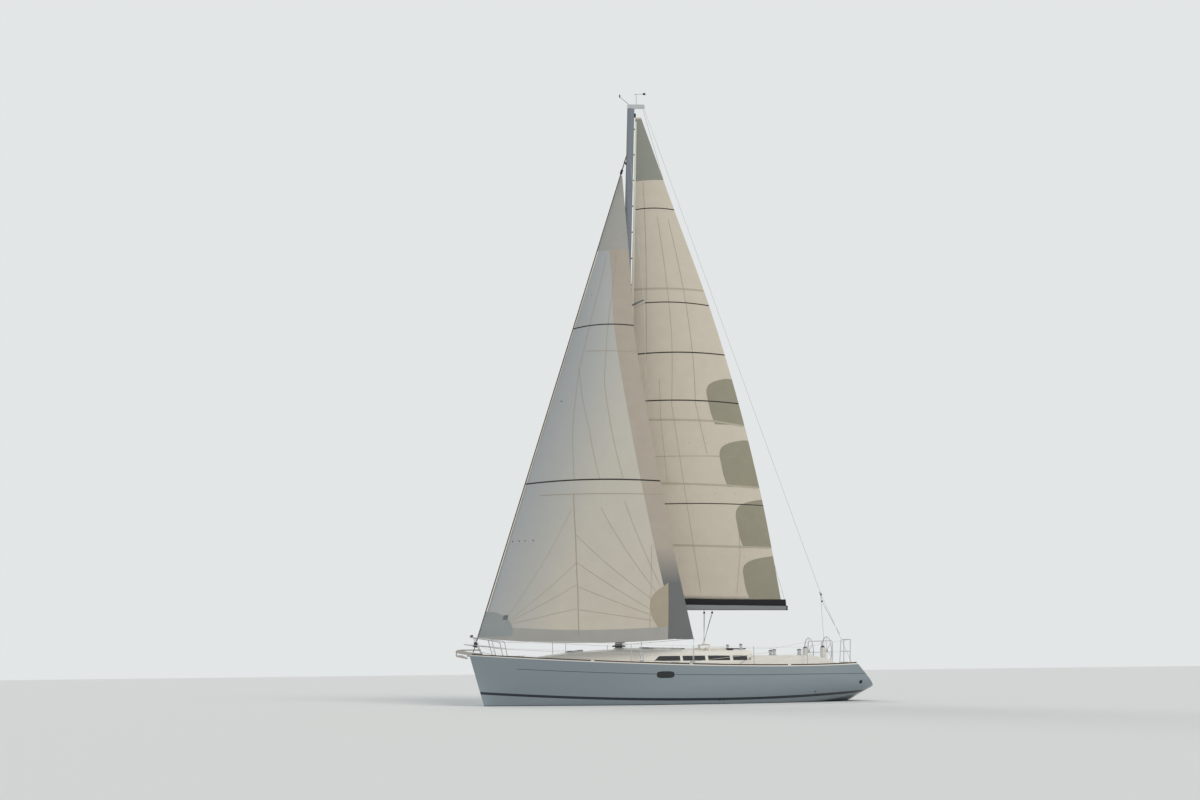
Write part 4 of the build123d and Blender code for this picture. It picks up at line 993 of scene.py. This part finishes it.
# Winch tops. Black self-tailing jaws and the socket for the handle on each drum.
# Each row gives station, distance from the centreline, height of the top and drum radius.
winch_rows = ((-4.15, 1.55, 1.762, 0.078), (-3.25, 1.55, 1.762, 0.066), (-2.30, 0.80, 1.962, 0.058))
jaws = []
for x, y, top, radius in winch_rows:
    for side in (1, -1):
        jaws.append(round_piece((x, side * y, top - 0.002), (x, side * y, top + 0.022),
                                radius * 0.92, 0.006, 28))
        jaws.append(round_piece((x, side * y, top + 0.02), (x, side * y, top + 0.03), radius * 0.35, 0.002))
nylon_fitting(jaws, "winch_tops")

# Steering gear. Each pedestal carries a compass bowl, and each wheel a stitched leather rim.
bowls = []
for side in (1, -1):
    bowls.append(ball_piece((-5.245, side * 0.9, 1.835), (0.075, 0.075, 0.07)))
keep(join_all(bowls), "compasses", "hull_body", smoked_acrylic)
leather = new_material("stitched_leather", "#3a3735", 0.6)
wheel_x, wheel_y, wheel_z, wheel_radius = -5.39, 0.9, 1.745, 0.465
for name, side in (("wheel_port", 1), ("wheel_starboard", -1)):
    rim = ring_piece((wheel_x, side * wheel_y, wheel_z), (1, 0, 0), wheel_radius, 0.0135, 72)
    keep(rim, name + "_rim", name + "_body", leather)
dress(["wheel_port", "wheel_starboard"], stainless)

# Hatch hinges. Two black nylon knuckles sit along the fore edge of each lid and ride on it.
# The rows give the lid, its hinge line, the height of its seat and its width.
for name, hinge_x, seat, width in (("roof_hatch_fore", 1.08, 1.907, 0.44),
                                   ("roof_hatch_aft", -0.02, 1.883, 0.44),
                                   ("fore_hatch", 3.70, 1.799, 0.56)):
    parts = []
    for side in (1, -1):
        parts.append(round_piece((hinge_x - 0.02, side * width * 0.3 - 0.03, seat),
                                 (hinge_x - 0.02, side * width * 0.3 + 0.03, seat), 0.009))
    nylon_fitting(parts, name + "_hinges", name + "_body")

# Turnbuckles of the shrouds. Each wire ends in a stainless barrel and fork above its
# chainplate.
turnbuckles = []
for side in (1, -1):
    for foot, head in (((1.400, side * 1.345, 1.48), (1.0, side * 1.336, 7.8)),
                       ((1.290, side * 1.325, 1.48), (1.634, side * 0.04, 7.6))):
        foot, head = Vector(foot), Vector(head)
        way = (head - foot).normalized()
        turnbuckles.append(round_piece(foot + way * 0.02, foot + way * 0.36, 0.013, 0.003))
        turnbuckles.append(round_piece(foot + way * 0.36, foot + way * 0.44, 0.009))
keep(join_all(turnbuckles), "turnbuckles", "hull_body", stainless)

# Backstay tackle: two dark blocks where the wire splits, with a line down one leg.
tackle = [round_piece((-5.60, -0.02, 3.72), (-5.60, 0.02, 3.72), 0.035, 0.006),
          round_piece((-5.63, -0.02, 3.48), (-5.63, 0.02, 3.48), 0.03, 0.006),
          line_piece([(-5.60, 0.0, 3.70), (-5.63, 0.0, 3.46), (-5.95, 0.75, 2.30)], 0.005)]
nylon_fitting(tackle, "backstay_tackle")

# Head fittings. A black swivel holds the genoa's head on the foil, a lead brings its halyard
# to the mast, and a sheave box closes the track above the mainsail.
swivel = Vector((stay_x(19.2), 0, 19.2))
stay_way = (Vector((stay_x(19.95), 0, 19.95)) - Vector((stay_x(2.3), 0, 2.3))).normalized()
head_parts = [round_piece(swivel - stay_way * 0.09, swivel + stay_way * 0.09, 0.045, 0.01),
              round_piece((mast_x(19.5) + 0.13, 0, 19.5), (mast_x(19.62) + 0.2, 0, 19.62), 0.03, 0.006),
              box_piece((mast_x(21.45) - 0.165, 0, 21.45), (0.06, 0.05, 0.16), 0.01)]
nylon_fitting(head_parts, "head_fittings")

# Furling line. A thin braided line leads from the drum aft along the port deck edge.
furling = line_piece([(6.77, 0.09, 2.03), (5.9, 0.62, 1.66), (3.94, 1.31, 1.60), (1.84, 1.91, 1.48),
                      (-0.26, 2.03, 1.38), (-2.36, 2.01, 1.36), (-4.2, 1.62, 1.60)], 0.004)
keep(furling, "furling_line", "hull_body", rope_white)

# Lid latches. Small black nylon turn handles, let into the lids of the anchor locker and of
# the seat lockers.
for name, spot in (("anchor_locker_lid", (6.12, 0, 1.681)), ("seat_locker_lid_port", (-3.9, 0.68, 1.2045)),
                   ("seat_locker_lid_starboard", (-3.9, -0.68, 1.2045))):
    latch = round_piece(spot, Vector(spot) + Vector((0, 0, 0.008)), 0.022, 0.003)
    nylon_fitting([latch], name + "_latch", name + "_body")

# Studio. A pale floor at the waterline, a pale surround and two wide soft lamps.
clear_selection()
bpy.ops.mesh.primitive_plane_add(size=400, location=(0, 0, 0))
floor = bpy.context.active_object
floor.name = "floor"
floor_paint = new_material("pale_floor", "#dfe2e3", 0.9)
floor.data.materials.append(floor_paint)
floor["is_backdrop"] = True

world = bpy.data.worlds.new("studio")
bpy.context.scene.world = world
world.use_nodes = True
surround = world.node_tree.nodes["Background"]
surround.inputs["Color"].default_value = linear("#dfe6ea")
surround.inputs["Strength"].default_value = 0.62
backdrop = add_node(world, "ShaderNodeBackground", None, {"Color": linear("#e3e6e6"), "Strength": 1.0})
rays = add_node(world, "ShaderNodeLightPath")
seen = rays.outputs["Is Camera Ray"]
for kind in ("Is Glossy Ray", "Is Transmission Ray"):
    seen = math_node(world, "ADD", seen, rays.outputs[kind], clamp=True)
choose = add_node(world, "ShaderNodeMixShader", None, None,
                  {0: seen, 1: surround.outputs[0], 2: backdrop.outputs[0]})
world.node_tree.links.new(choose.outputs[0], world.node_tree.nodes["World Output"].inputs["Surface"])
for name, turn, strength, colour in (("key_lamp", (math.radians(52), 0, math.radians(205)), 1.5, "#fff6ea"),
                                     ("back_lamp", (math.radians(60), 0, math.radians(20)), 0.7, "#fff1e0")):
    clear_selection()
    bpy.ops.object.light_add(type="SUN", rotation=turn, location=(0, 0, 30))
    lamp = bpy.context.active_object
    lamp.name = name
    lamp.data.energy = strength
    lamp.data.angle = math.radians(25)
    lamp.data.color = linear(colour)[:3]
    lamp.visible_glossy = False

# Camera at the photograph's place, low over the water on the port side
yaw, pitch, roll = -0.203, 0.190, -0.011
forward = Vector((math.sin(yaw) * math.cos(pitch), -math.cos(yaw) * math.cos(pitch), math.sin(pitch)))
right = forward.cross(Vector((0, 0, 1))).normalized()
up = right.cross(forward)
level_right = right * math.cos(roll) + up * math.sin(roll)
level_up = up * math.cos(roll) - right * math.sin(roll)
photo_width = 1200
focal_pixels = 1382
bpy.ops.object.camera_add(location=(12.16, 47.37, 1.296))
camera = bpy.context.active_object
camera.rotation_mode = "QUATERNION"
camera.rotation_quaternion = Matrix((level_right, level_up, -forward)).transposed().to_quaternion()
camera.data.sensor_width = 36
camera.data.lens = focal_pixels * camera.data.sensor_width / photo_width
camera.data.clip_end = 1000
bpy.context.scene.camera = camera
bpy.context.scene.view_settings.view_transform = "Standard"

low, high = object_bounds()
